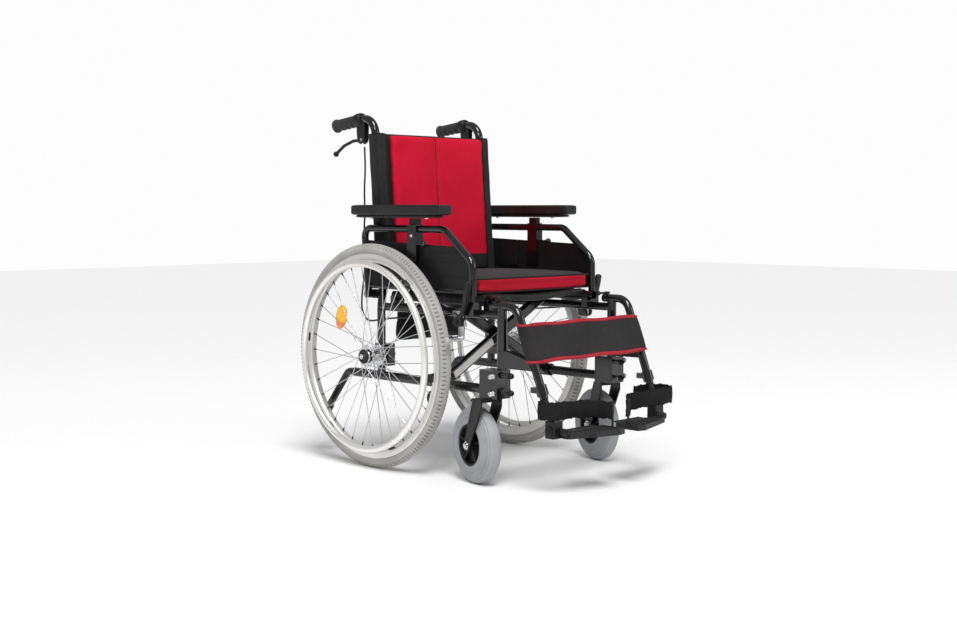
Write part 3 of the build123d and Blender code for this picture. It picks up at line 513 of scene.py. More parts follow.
cable = {
    "radius": 0.0025, "length": 0.834,
    "route": [(0.205, 0.102, 0.874), (0.207, 0.096, 0.818), (0.209, 0.100, 0.756), (0.211, 0.095, 0.694),
              (0.213, 0.098, 0.630),
              (0.214, 0.092, 0.568), (0.216, 0.095, 0.510), (0.223, 0.098, 0.456), (0.233, 0.084, 0.416),
              (0.240, 0.048, 0.394),
              (0.241, 0.000, 0.402), (0.240, -0.056, 0.410), (0.241, -0.116, 0.413), (0.240, -0.176, 0.419),
              (0.241, -0.230, 0.423),
              (0.241, -0.282, 0.432)],
}


def makeCable(side):  # a NURBS of order 3 with the route's points as its control points
    sign = handed[side]
    points = [(sign * x, y + axleY, z) for x, y, z in cable["route"]]
    curve = bpy.data.curves.new(side + "_cable", "CURVE")
    curve.dimensions = "3D"
    line = curve.splines.new("NURBS")
    line.points.add(len(points) - 1)
    line.points.foreach_set("co", np.array([(*p, 1.0) for p in points], np.float32).ravel())
    line.order_u, line.use_endpoint_u, line.resolution_u = 3, True, 8
    curve.bevel_depth, curve.bevel_resolution, curve.use_fill_caps = cable["radius"], 3, True
    piece = bpy.data.objects.new(side + "_cable", curve)
    bpy.context.scene.collection.objects.link(piece)
    piece.data.materials.append(finishes["cable cover"])
    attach(piece, side + "_frame")
    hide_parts(side + "_brake_cable")


for side in handed:
    makeCable(side)
print("cables laid")


tyre = {"section": 0.0165, "ribs": 5, "ribDepth": 0.0011, "blocks": 168, "blockDepth": 0.0046, "rows": 1008,
        "columns": 60}


def makeTyre(side):
    # a torus whose section radius loses a cosine of ribs over the crown and a square wave of blocks on the
    # shoulders
    centre = middle(side + "_tyre")
    radius = (corners(side + "_tyre")[1][2] - corners(side + "_tyre")[0][2]) / 2 - tyre["section"]
    turn = 2 * np.pi * np.arange(tyre["rows"]) / tyre["rows"]
    b = np.interp(np.arange(tyre["columns"]) / tyre["columns"], [0, 0.18, 0.82, 1],
                  np.radians([-90, 22, 158, 270]))
    crown = smoothStep(np.sin(b), 0.80, 0.86)
    shoulder = smoothStep(np.sin(b), 0.36, 0.44) * (1 - smoothStep(np.sin(b), 0.84, 0.88))
    wave = np.clip(3 * np.sin(tyre["blocks"] * turn[:, None] + np.where(np.cos(b) > 0, 0, np.pi)) - 0.9, -1,
                   1) * 0.5 + 0.5
    ribs = 0.5 + 0.5 * np.cos(2 * np.pi * tyre["ribs"] * (b - np.pi / 2) / np.radians(64) + np.pi)
    wall = 0.0004 * np.cos(b * 22) * smoothStep(-np.sin(b), -0.35, 0.0)
    r = tyre["section"] - tyre["ribDepth"] * crown * ribs - tyre["blockDepth"] * shoulder * wave - abs(wall)
    ring = radius + r * np.sin(b)
    points = np.stack([np.broadcast_to(r * np.cos(b), ring.shape), ring * np.cos(turn)[:, None],
                       ring * np.sin(turn)[:, None]], -1)
    makePiece(side + "_tyre_tread", [grid(centre + points, wrapRows=True, caps=False)],
              [finishes["grey tyre rubber"]],
              side + "_wheel", side + "_tyre", sharp=60)


rim = {"half": 0.0136, "lip": 0.2784, "well": 0.2542, "nippleRadius": 0.0020, "nippleLength": 0.011,
       "nippleSunk": 0.0015}


def rimProfile():  # half of the closed outline from the tyre side round to the well, then its mirror
    h, lip, well = rim["half"], rim["lip"], rim["well"]
    outline = [(0, 0.2700), (h - 0.0026, 0.2702), (h - 0.0019, lip - 0.0016), (h - 0.0010, lip),
               (h - 0.0002, lip - 0.001), (h, lip - 0.003),
               (h - 0.0002, 0.2672), (h - 0.0011, 0.2662), (h - 0.0011, 0.2650), (h - 0.0003, 0.2642),
               (h - 0.0006, 0.2606),
               (h - 0.0022, 0.2578), (h - 0.0055, 0.2556), (0.0052, well), (0.0022, well + 0.0004),
               (0, well + 0.0004)]
    outline = np.array(outline)
    return np.concatenate([outline, (outline * (-1, 1))[-2:0:-1]])


spokes = {"count": 36, "radius": 0.0011, "hole": 0.025, "lead": math.radians(62), "flanges": (0.246, 0.288),
          "offset": 0.0019, "headRadius": 0.0026, "headHalf": 0.0017, "steps": 6}


def makeWheel(side):
    # spoke k runs straight from its flange hole, turned by the lead, to the rim; odd ones start at the outer
    # flange
    centre, sign = middle(side + "_tyre"), handed[side]
    turned = rimProfile()
    k = np.arange(spokes["count"])
    rimAngle = 2 * np.pi * k / spokes["count"]
    lead = np.where((k // 2) % 2, 1.0, -1.0)
    hubAngle = rimAngle + lead * spokes["lead"]
    flange = np.where(k % 2, spokes["flanges"][1], spokes["flanges"][0]) + lead * spokes["offset"]
    start = np.stack([sign * flange, spokes["hole"] * np.cos(hubAngle), spokes["hole"] * np.sin(hubAngle)],
                     -1)
    reach = rim["well"]
    end = np.stack([np.full(len(k), sign * abs(centre[0])), reach * np.cos(rimAngle),
                    reach * np.sin(rimAngle)], -1)
    start, end = start + (0, centre[1], centre[2]), end + (0, centre[1], centre[2])
    line = start[:, None] + np.linspace(0, 1, spokes["steps"])[None, :, None] * (end - start)[:, None]
    run = unit(end - start)
    nipple = end[:, None] - run[:, None] * np.linspace(-rim["nippleSunk"], rim["nippleLength"],
                                                       spokes["steps"])[None, :, None]
    swell = np.array([1, 1, 1, 0.95, 0.72, 0.6])[:, None, None]
    head = start[:, None] + np.array([-1, -0.7, 0.7, 1])[None, :, None] * np.array([spokes["headHalf"], 0, 0])
    headSize = np.array([0.5, 1, 1, 0.5])[:, None, None]
    upward = (1, 0.02, 0.01)
    pieces = [carried(line, roundSection(spokes["radius"], 8), upward),
              carried(head, roundSection(spokes["headRadius"], 8) * headSize, (0, 0.3, 1))]
    makePiece(side + "_spokes", pieces, [finishes["chromed spokes"]], side + "_wheel")
    # the nipples share the near-black finish that elsewhere paints the shade inside holes
    makePiece(side + "_wheel_rim", [lathe(turned, centre, sides=288, ring=True),
                                    carried(nipple, roundSection(rim["nippleRadius"], 8) * swell, upward,
                                            finish=1)],
              [finishes["anodised rim"], finishes["dark recess"]], side + "_wheel", side + "_rim",
              sharp=35)
    inner, outer = 0.2338, 0.2990
    a, b = spokes["flanges"]
    barrel = [(inner, 0.0066), (inner, 0.0125), (inner + 0.0015, 0.0140), (a - 0.0060, 0.0150),
              (a - 0.0022, 0.0178), (a - 0.0018, 0.0284),
              (a - 0.0012, 0.0290), (a + 0.0012, 0.0290), (a + 0.0018, 0.0284), (a + 0.0024, 0.0180),
              (a + 0.0075, 0.0162),
              (a + 0.0140, 0.0142), (b - 0.0140, 0.0142), (b - 0.0075, 0.0162), (b - 0.0024, 0.0180),
              (b - 0.0018, 0.0284),
              (b - 0.0012, 0.0290), (b + 0.0012, 0.0290), (b + 0.0018, 0.0284), (b + 0.0022, 0.0172),
              (b + 0.0080, 0.0155),
              (outer, 0.0145), (outer, 0.0066)]
    hub = lathe(np.array(barrel) * (sign, 1), (0, centre[1], centre[2]), sides=72, ring=True)
    makePiece(side + "_hub_shell", [hub], [finishes["bright steel"]], side + "_wheel", side + "_hub",
              sharp=35)
    cap = [(0.2960, 0.0072), (0.2960, 0.0182), (0.2972, 0.0192), (0.3008, 0.0190), (0.3026, 0.0174),
           (0.3030, 0.0158), (0.3030, 0.0098),
           (0.3020, 0.0086), (0.3006, 0.0075)]
    makePiece(side + "_hub_cap", [lathe(np.array(cap) * (sign, 1), (0, centre[1], centre[2]), sides=48,
                                        ring=True)],
              [finishes["black moulded plastic"]], side + "_wheel")
    collar = [(0.2242, 0.0112), (0.2242, 0.0138), (0.2250, 0.0150), (0.2310, 0.0150), (0.2320, 0.0138),
              (0.2320, 0.0112)]
    makePiece(side + "_axle_collar", [lathe(np.array(collar) * (sign, 1), (0, centre[1], centre[2]), sides=40,
                                            ring=True)],
              [finishes["black moulded plastic"]], side + "_frame")


handrim = {"radius": 0.251, "tube": 0.009, "tabs": 6, "firstTab": 38, "tabWide": 0.0125, "tabNarrow": 0.0060,
           "tabThick": 0.0024, "rimEnd": 0.2600, "ringEnd": 0.2470, "steps": 216}


def makeHandrim(side):
    # a torus, with tapering tabs that bow from the rim's side out to it: radius falls with a half cosine of
    # the way out
    centre, sign = middle(side + "_handrim"), handed[side]
    plane = sign * (abs(corners(side + "_handrim")[1 if sign > 0 else 0][0]) - handrim["tube"])
    turn = 2 * np.pi * np.arange(handrim["steps"]) / handrim["steps"]
    path = np.stack([np.full(handrim["steps"], plane), centre[1] + handrim["radius"] * np.cos(turn),
                     centre[2] + handrim["radius"] * np.sin(turn)], -1)
    ring = carried(path, roundSection(handrim["tube"], 24), (1, 0, 0), wrapRows=True)
    makePiece(side + "_handrim_ring", [ring], [finishes["satin alloy"]], side + "_wheel",
              side + "_handrim")
    angle = np.radians(360 / handrim["tabs"] * np.arange(handrim["tabs"]) + handrim["firstTab"])
    out = np.stack([0 * angle, -np.sin(angle), np.cos(angle)], -1)[:, None, None]
    tangent = np.stack([0 * angle, np.cos(angle), np.sin(angle)], -1)[:, None, None]
    t = np.linspace(0, 1, 12)
    rimSide = abs(middle(side + "_tyre")[0]) + rim["half"] - 0.001
    x = sign * (rimSide + t * (abs(plane) - rimSide))
    radius = handrim["rimEnd"] - (handrim["rimEnd"] - handrim["ringEnd"]) * (0.5 - 0.5 * np.cos(np.pi * t))
    wide = handrim["tabWide"] + (handrim["tabNarrow"] - handrim["tabWide"]) * t
    section = boxySection(1, handrim["tabThick"], 4, 16)
    points = (np.array([0, centre[1], centre[2]]) + x[None, :, None, None] * np.array([1.0, 0, 0])
              + (radius[:, None] + section[:, 1])[None, :, :, None] * out
              + (wide[:, None] * section[:, 0])[None, :, :, None] * tangent)
    makePiece(side + "_handrim_tabs", [grid(points)], [finishes["black moulded plastic"]], side + "_wheel")


reflector = {"x": 0.2695, "reach": 0.1634, "turn": {"left": 118, "right": 37.3}, "half": (0.0215, 0.035),
             "thick": 0.0036, "lean": -19.3}


def makeReflector(side):
    # an ellipse whose size follows a rounded profile through its thickness, turned about the axle with its
    # spokes
    spin = math.radians(reflector["turn"][side])
    place = middle(side + "_tyre") + reflector["reach"] * np.array([0, math.cos(spin), math.sin(spin)])
    place[0] = handed[side] * reflector["x"]
    a = 2 * np.pi * np.arange(64) / 64
    profile = np.array([(-1, 0.55), (-1, 0.86), (-0.8, 0.95), (-0.3, 1), (0.3, 1), (0.8, 0.95), (1, 0.86),
                        (1, 0.55)])
    lean = spin + math.radians(reflector["lean"])
    c, s = math.cos(lean), math.sin(lean)
    u = reflector["half"][0] * np.cos(a)
    v = reflector["half"][1] * np.sin(a)
    flat = np.stack([0 * a, c * u - s * v, s * u + c * v], -1)
    points = (place + profile[:, 0, None, None] * np.array([reflector["thick"], 0, 0])
              + profile[:, 1, None, None] * flat)
    makePiece(side + "_reflector", [grid(points)], [finishes["amber reflector"]], side + "_wheel")


for side in handed:
    makeTyre(side)
    makeWheel(side)
    makeHandrim(side)
    makeReflector(side)
print("rear wheels built")


caster = {"turn": {"left": math.radians(-18.8), "right": math.radians(-14)}, "half": 0.025, "radius": 0.100,
          "hub": 0.0545,
          "grooves": (0.064, 0.071, 0.078, 0.085, 0.0915), "grooveDepth": 0.0014, "forkGap": 0.0025,
          "forkPlate": 0.004}


def makeCaster(side):
    # the section is a superellipse round the crown with narrow dips at the sidewall grooves
    a = caster["turn"][side]
    axis = (math.cos(a), math.sin(a), 0)
    centre = middle(side + "_caster_tyre")
    b = np.linspace(0, np.pi, 90)
    x = caster["half"] * np.sign(np.cos(b)) * abs(np.cos(b)) ** (2 / 2.7)
    r = caster["hub"] + (caster["radius"] - caster["hub"]) * abs(np.sin(b)) ** (2 / 2.3)
    dip = sum(np.exp(-((r - g) / 0.0010) ** 2) for g in caster["grooves"])
    dip = dip + 0.8 * np.exp(-((abs(x) - 0.008) / 0.0008) ** 2) * (r > 0.09)
    x = x * (1 - dip * caster["grooveDepth"] / caster["half"])
    r = r - dip * caster["grooveDepth"] * (abs(x) < 0.02)
    profile = np.stack([x, r], -1)
    makePiece(side + "_caster_tread", [lathe(profile, centre, axis, 160, ring=True)],
              [finishes["grey caster tyre"]],
              side + "_caster_wheel", side + "_caster_tyre")
    low = caster["half"] + caster["forkGap"] + caster["forkPlate"]
    nut = [(low, 0.0105), (low + 0.0012, 0.0105), (low + 0.0014, 0.0078), (low + 0.0050, 0.0078),
           (low + 0.0060, 0.0064), (low + 0.0064, 0.003)]
    both = [lathe(np.array(nut) * (end, 1), centre, axis, 36) for end in (1, -1)]
    makePiece(side + "_caster_bolt", both, [finishes["bright steel"]], side + "_caster_fork")
    along = np.array([-math.sin(a), math.cos(a), 0])
    # thin near-black discs at the fork's holes: painted shade standing in for the holes' insides
    spots = []
    for up, back in ((0.026, -0.018), (0.048, -0.0345)):
        for end in (1, -1):
            place = centre + np.array([0, 0, up]) + along * back + np.array(axis) * end * (low - 0.0004)
            spots.append(lathe(np.array([(0, 0.0034), (0.0006, 0.0034), (0.0006, 0.0026)]) * (end, 1), place,
                               axis, 20))
    makePiece(side + "_fork_holes", spots, [finishes["dark recess"]], side + "_caster_fork")


for side in handed:
    makeCaster(side)
print("casters built")


grip = {"from": (0.201, 0.147, 0.9459), "to": (0.201, 0.2285, 0.9362), "radius": 0.0168, "fingers": 4,
        "dip": 0.0034, "ribs": 26, "rib": 0.0005, "flange": 0.0022, "rows": 131, "columns": 40}
leverClamp = {"cheek": 0.0072, "behind": 0.114, "top": 0.951, "drop": 0.069, "thick": 0.0019,
              "pin": (0.110, 0.894)}


def makeGrip(side):
    # a tube whose radius dips by a cosine between the fingers on its underside, has fine ribs on top and a
    # flange at its end
    sign = handed[side]
    t = np.linspace(0, 1, grip["rows"])[:, None]
    a = 2 * np.pi * np.arange(grip["columns"]) / grip["columns"]
    under = smoothStep(-np.sin(a), -0.1, 0.8)
    inside = smoothStep(t, 0.04, 0.10) * (1 - smoothStep(t, 0.88, 0.93))
    r = grip["radius"] - grip["dip"] * (0.5 + 0.5 * np.cos(2 * np.pi * grip["fingers"] * t)) * under * inside
    r = r - grip["rib"] * (0.5 + 0.5 * np.cos(2 * np.pi * grip["ribs"] * t)) * (1 - under) * inside
    r = r + grip["flange"] * smoothStep(t, 0.925, 0.945) - 0.004 * smoothStep(t, 0.985, 1.0)
    r = r - 0.003 * (1 - smoothStep(t, 0, 0.02))
    start = np.array(grip["from"]) * (sign, 1, 1) + (0, axleY, 0)
    end = np.array(grip["to"]) * (sign, 1, 1) + (0, axleY, 0)
    section = np.stack([r * np.cos(a), r * np.sin(a)], -1)
    makePiece(side + "_grip", [carried(start + t * (end - start), section)], [finishes["grip rubber"]],
              side + "_frame", side + "_push_handle")
    run = unit(end - start)
    back = start - run * 0.0045
    body = np.array([(0, 0.0150), (0.0015, 0.0180), (0.009, 0.0196), (0.021, 0.0198), (0.028, 0.0182),
                     (0.031, 0.0150)])
    plates = []
    for cheek in (-leverClamp["cheek"], leverClamp["cheek"]):
        line = np.linspace(0, 1, 14)[:, None]
        path = np.array([start[0] + cheek, axleY + leverClamp["behind"],
                         leverClamp["top"]]) + line * np.array([0, 0, -leverClamp["drop"]])
        wide = 0.0178 - 0.004 * line[:, 0] ** 2
        close = np.maximum(1 - abs(2 * line[:, 0] - 1) ** 8, 0.02) ** 0.5
        size = np.stack([wide * close, leverClamp["thick"] * close], -1)
        section = boxySection(1, 1, 5, 20) * size[:, None, :]
        plates.append(carried(path, section, (1, 0, 0)))
    clampLine = [lathe(body * (-1, 1), back, run, 40)]
    pin = [lathe([(-0.0105, 0.002), (-0.0105, 0.0042), (-0.009, 0.0046), (0.009, 0.0046), (0.0105, 0.0042),
                  (0.0105, 0.002)],
                 (start[0], axleY + leverClamp["pin"][0], leverClamp["pin"][1]), (1, 0, 0), 24, finish=1)]
    makePiece(side + "_lever_clamp", clampLine + plates + pin,
              [finishes["black moulded plastic"], finishes["bright steel"]],
              side + "_frame")


for side in handed:
    makeGrip(side)
print("push handles built")


armpad = {"power": 7.0, "endPower": 13.0, "tray": 0.008, "inset": 0.004, "screws": 0.11}


def makeArmPad(side):
    # a superellipsoid pad over a thin superellipsoid tray, with two turned screw heads under it
    low, high = corners(side + "_armrest_pad")
    half = (high - low) / 2
    thick = (high[2] - low[2] - armpad["tray"]) / 2
    centre = (low + high) / 2
    centre[2] = high[2] - thick
    g = pillow(centre, (half[0], half[1], thick), power=armpad["power"], endPower=armpad["endPower"], rows=90,
               sides=72)
    piece = makePiece(side + "_arm_pad", [g], [finishes["pad skin"]], side + "_armrest_pad",
                      side + "_armrest_pad", sharp=80)
    tray = np.array([centre[0], centre[1] + 0.004, low[2] + armpad["tray"] / 2 + 0.001])
    parts = [pillow(tray, (half[0] - armpad["inset"], half[1] - 4 * armpad["inset"], armpad["tray"] / 2),
                    power=6, endPower=6, rows=40, sides=40)]
    for offset in (-armpad["screws"], armpad["screws"]):
        parts.append(lathe([(0, 0.0052), (-0.0016, 0.0052), (-0.0030, 0.0042), (-0.0032, 0.002)],
                           tray + (0, offset, -armpad["tray"] / 2), (0, 0, 1), 24, finish=1))
    makePiece(side + "_pad_tray", parts, [finishes["black moulded plastic"], finishes["bright steel"]],
              side + "_armrest_pad")


for side in handed:
    makeArmPad(side)


parkBrake = {"pivot": (0.254, -0.320, 0.416), "paddleWidth": 0.0095, "paddleThick": 0.0062,
             "rootWidth": 0.0056,
             "rootThick": 0.0052, "steps": 60, "bracketX": 0.2385, "screwX": 0.2630,
             "slots": ((0.010, 0.004), (0.020, 0.017))}


def makeParkBrake(side):
    # the lever's section grows from the pivot to a wide paddle, and closes over its end with a square root
    sign = handed[side]
    x, y, z = parkBrake["pivot"]
    pivot = np.array([sign * x, y + axleY, z])
    path = pivot + softLine([(0, 0, 0), (0, -0.014, 0.020), (0, -0.0245, 0.040), (0, -0.0305, 0.062),
                             (0, -0.0365, 0.086), (0, -0.040, 0.106)], parkBrake["steps"])
    t = np.linspace(0, 1, parkBrake["steps"])
    close = np.sqrt(np.maximum(1 - np.maximum(0, (t - 0.94) / 0.06) ** 2, 0.002))
    widening = parkBrake["paddleWidth"] - parkBrake["rootWidth"]
    thickening = parkBrake["paddleThick"] - parkBrake["rootThick"]
    wide = (parkBrake["rootWidth"] + widening * smoothStep(t, 0.25, 0.55)) * close
    thick = (parkBrake["rootThick"] + thickening * smoothStep(t, 0.25, 0.5)) * close
    section = boxySection(1, 1, 3.2, 32) * np.stack([wide, thick], -1)[:, None, :]
    lever = [carried(path, section, (0, 1, 0.2)),
             lathe([(-0.0052, 0.0046), (-0.0052, 0.0128), (-0.004, 0.0138), (0.004, 0.0138), (0.0052, 0.0128),
                    (0.0052, 0.0046)],
                   pivot, (1, 0, 0), 48, ring=True)]
    makePiece(side + "_brake_paddle", lever, [finishes["grey moulded plastic"]], side + "_park_brake",
              side + "_park_brake_lever")
    # bright bracket beside the frame's own plate, with two slots painted near black as the shade inside them,
    # and the cam screws
    outer = sign * parkBrake["bracketX"]
    outline = np.array([(-0.016, -0.013), (0.012, -0.015), (0.034, 0.012), (0.036, 0.026), (0.002, 0.026),
                        (-0.013, 0.004)])
    edges = np.roll(outline, -1, 0) - outline
    shares = np.array([[0.08], [0.5], [0.92]])
    corner = np.concatenate([start + edge * shares for start, edge in zip(outline, edges)])
    rows = np.array([(-0.0008, 0.97), (-0.0008, 1), (0.0008, 1), (0.0008, 0.97)])
    mid = corner.mean(0)
    flat = mid + (corner - mid)[None] * rows[:, 1, None, None]
    points = np.stack([np.broadcast_to((outer + rows[:, 0])[:, None], flat.shape[:2]),
                       pivot[1] + flat[..., 0], pivot[2] + flat[..., 1]], -1)
    # thin near-black slits: painted shade inside the bracket's slots
    slots = []
    for dy, dz in parkBrake["slots"]:
        place = np.array([outer + sign * 0.0011, pivot[1] + dy, pivot[2] + dz])
        path = place + np.array([[-1], [0], [1]]) * np.array([0, 0.008, 0.004])
        slots.append(carried(path, boxySection(0.0005, 0.0022, 4, 12), finish=1))
    screws = [lathe(np.array([(0, 0.0072), (0.003, 0.0072), (0.0042, 0.0060), (0.0044, 0.002)]) * (sign, 1),
                    (sign * parkBrake["screwX"], pivot[1], pivot[2]), (1, 0, 0), 32, finish=2)]
    makePiece(side + "_brake_bracket", [grid(points)] + slots + screws,
              [finishes["bright steel"], finishes["dark recess"], finishes["black moulded plastic"]],
              side + "_frame")


for side in handed:
    makeParkBrake(side)
print("armrest pads and brakes built")


seat = {"railX": 0.1875, "railZ": 0.468, "railRadius": 0.011, "sag": 0.007, "cloth": 0.0022, "clear": 0.0025}


def makeSling():
    # the cloth's cross line goes round each rail as an arc and sags between them as a squared cosine; its
    # front edge rolls under
    low, high = corners("seat_sling")
    wrap = seat["railRadius"] + seat["clear"]
    turn = np.radians(np.linspace(-30, -270, 26))
    rightArc = np.stack([-seat["railX"] + wrap * np.cos(turn), seat["railZ"] + wrap * np.sin(turn)], -1)
    x = np.linspace(-seat["railX"] + 0.004, seat["railX"] - 0.004, 60)
    top = np.stack([x, seat["railZ"] + wrap - seat["sag"] * np.cos(np.pi * x / (2 * seat["railX"])) ** 2], -1)
    across = np.concatenate([rightArc, top, (rightArc * (-1, 1))[::-1]])
    y = np.concatenate([low[1] + 0.006 * (1 - np.cos(np.linspace(0, np.pi / 2, 6))),
                        np.linspace(low[1] + 0.012, high[1], 60)])
    drop = np.concatenate([0.006 * (1 - np.sin(np.linspace(0, np.pi / 2, 6))), np.zeros(60)])
    between = smoothStep(seat["railX"] - abs(across[:, 0]), 0.0, 0.02)
    points = np.stack(np.broadcast_arrays(across[None, :, 0], y[:, None],
                                          across[None, :, 1] - drop[:, None] * between), -1)
    sling = makePiece("sling_cloth", [grid(points, wrapColumns=False, caps=False)], [finishes["sling cloth"]],
                      None, "seat_sling", closed=False)
    thicken(sling, seat["cloth"])
    outward(sling)
    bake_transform(sling)
    # rolled front hem, a tube that follows the sagging edge
    x = np.linspace(-seat["railX"] + 0.006, seat["railX"] - 0.006, 60)
    hem = np.stack([x, np.full(60, low[1] + 0.008), seat["railZ"] + wrap - 0.004
                    - (seat["sag"] + 0.003) * np.cos(np.pi * x / (2 * seat["railX"])) ** 2], -1)
    roll = makePiece("sling_hem", [carried(hem, boxySection(0.0085, 0.0075, 2.4, 24))],
                     [finishes["sling cloth"]], None)
    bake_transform(roll)


cushion = {"voxel": 0.0055, "pressure": 4.0, "cap": 0.005, "stiffness": 12.0, "bending": 0.8, "band": 0.030}


def makeSeatCushion():
    # a superellipsoid blown up as cloth; the piping is a superellipse of power 26, spaced evenly along its
    # length
    low, high = corners("seat_cushion")
    half = (high - low) / 2 - (0.003, 0.004, 0.005)
    centre = (low + high) / 2
    crimson = looks["crimson knit"]
    mark = {"axis": "Z", "behind": low[1] + 0.016, "from": high[2] - 0.0105, "to": high[2] - 0.0095,
            "tone": crimson["tone"], "other": crimson["other"], "hole": (0.62, 0.4, 0.45)}
    look = dict(looks["black knit"], tone=(0.028, 0.026, 0.028), other=(0.040, 0.038, 0.040), mark=mark)
    finishes["seat knit"] = makeFinish("seat knit", look)
    piece = makePiece("cushion_cover", [pillow(centre, half, power=12, endPower=36, rows=70, sides=112)],
                      [finishes["seat knit"]])

    def rest(before, after):  # the underside stays flat on the sling, and the top crowns by a cosine each way
        u = np.clip((before[:, 0] - centre[0]) / half[0], -1, 1)
        v = np.clip((before[:, 1] - centre[1]) / half[1], -1, 1)
        topside = smoothStep(before[:, 2], centre[2], centre[2] + half[2])
        crown = np.cos(np.pi * u / 2) ** 0.8 * np.cos(np.pi * v / 2) ** 0.8
        after = after.copy()
        after[:, 2] = np.where(before[:, 2] < centre[2], np.maximum(after[:, 2], low[2] + 0.001), after[:, 2])
        after[:, 2] = np.minimum(after[:, 2], centre[2] + half[2] + 0.004)
        after[:, 2] += 0.007 * crown * topside
        # sides pull in between the edges
        pull = 0.0035 * np.exp(-((before[:, 2] - centre[2]) / (half[2] * 0.5)) ** 2)
        after[:, 0] -= np.sign(u) * pull * smoothStep(abs(u), 0.9, 1.0) * 0.5
        return after

    inflate(piece, cushion, rest)
    boxUv(piece)
    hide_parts("seat_cushion")
    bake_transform(piece)
    # piping round the top edge of the band and round its foot
    a = 2 * np.pi * np.arange(240) / 240
    c, s = np.cos(a), np.sin(a)
    outline = np.stack([(half[0] + 0.0025) * np.sign(c) * abs(c) ** (2 / 26),
                        (half[1] + 0.0025) * np.sign(s) * abs(s) ** (2 / 26)], -1)
    step = np.append(0, np.cumsum(np.linalg.norm(np.roll(outline, -1, 0) - outline, axis=1)))
    even = np.linspace(0, step[-1], 361)[:-1]
    outline = np.stack([np.interp(even, step, np.append(outline[:, k], outline[0, k])) for k in (0, 1)], -1)
    cords = []
    for height, radius in ((high[2] - 0.0075, 0.0022), (low[2] + 0.0045, 0.0020)):
        path = np.concatenate([centre[:2] + outline, np.full((360, 1), height)], 1)
        cords.append(carried(path, roundSection(radius, 10), wrapRows=True))
    edge = makePiece("cushion_piping", cords, [finishes["black piping"]], None)
    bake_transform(edge)


makeSling()
makeSeatCushion()
print("seat built")


back = {"foot": (0.22324, 0.520), "lean": math.radians(4.24), "height": 0.389, "caneX": 0.201,
        "panelHalf": 0.180, "shift": 0.006, "redFoot": 0.574, "front": -0.034,
        "rear": -0.014, "folded": 0.2756, "clothHalf": 0.184, "strapHalf": 0.186,
        "strapHeights": (0.075, 0.175, 0.275),
        "sleeveX": 0.1995, "sleeveDepth": -0.0035, "sleeveHalf": (0.0185, 0.0225), "sleeveSides": 56}


def leaned(points):  # from the back's own place (x, depth, height up the lean) to the chair's
    c, s = math.cos(back["lean"]), math.sin(back["lean"])
    x, d, h = points[..., 0], points[..., 1], points[..., 2]
    return np.stack(np.broadcast_arrays(x, back["foot"][0] + d * c + h * s, back["foot"][1] - d * s + h * c),
                    -1)


panel = {"voxel": 0.0045, "pressure": 4.0, "cap": 0.004, "stiffness": 12.0, "bending": 0.8}


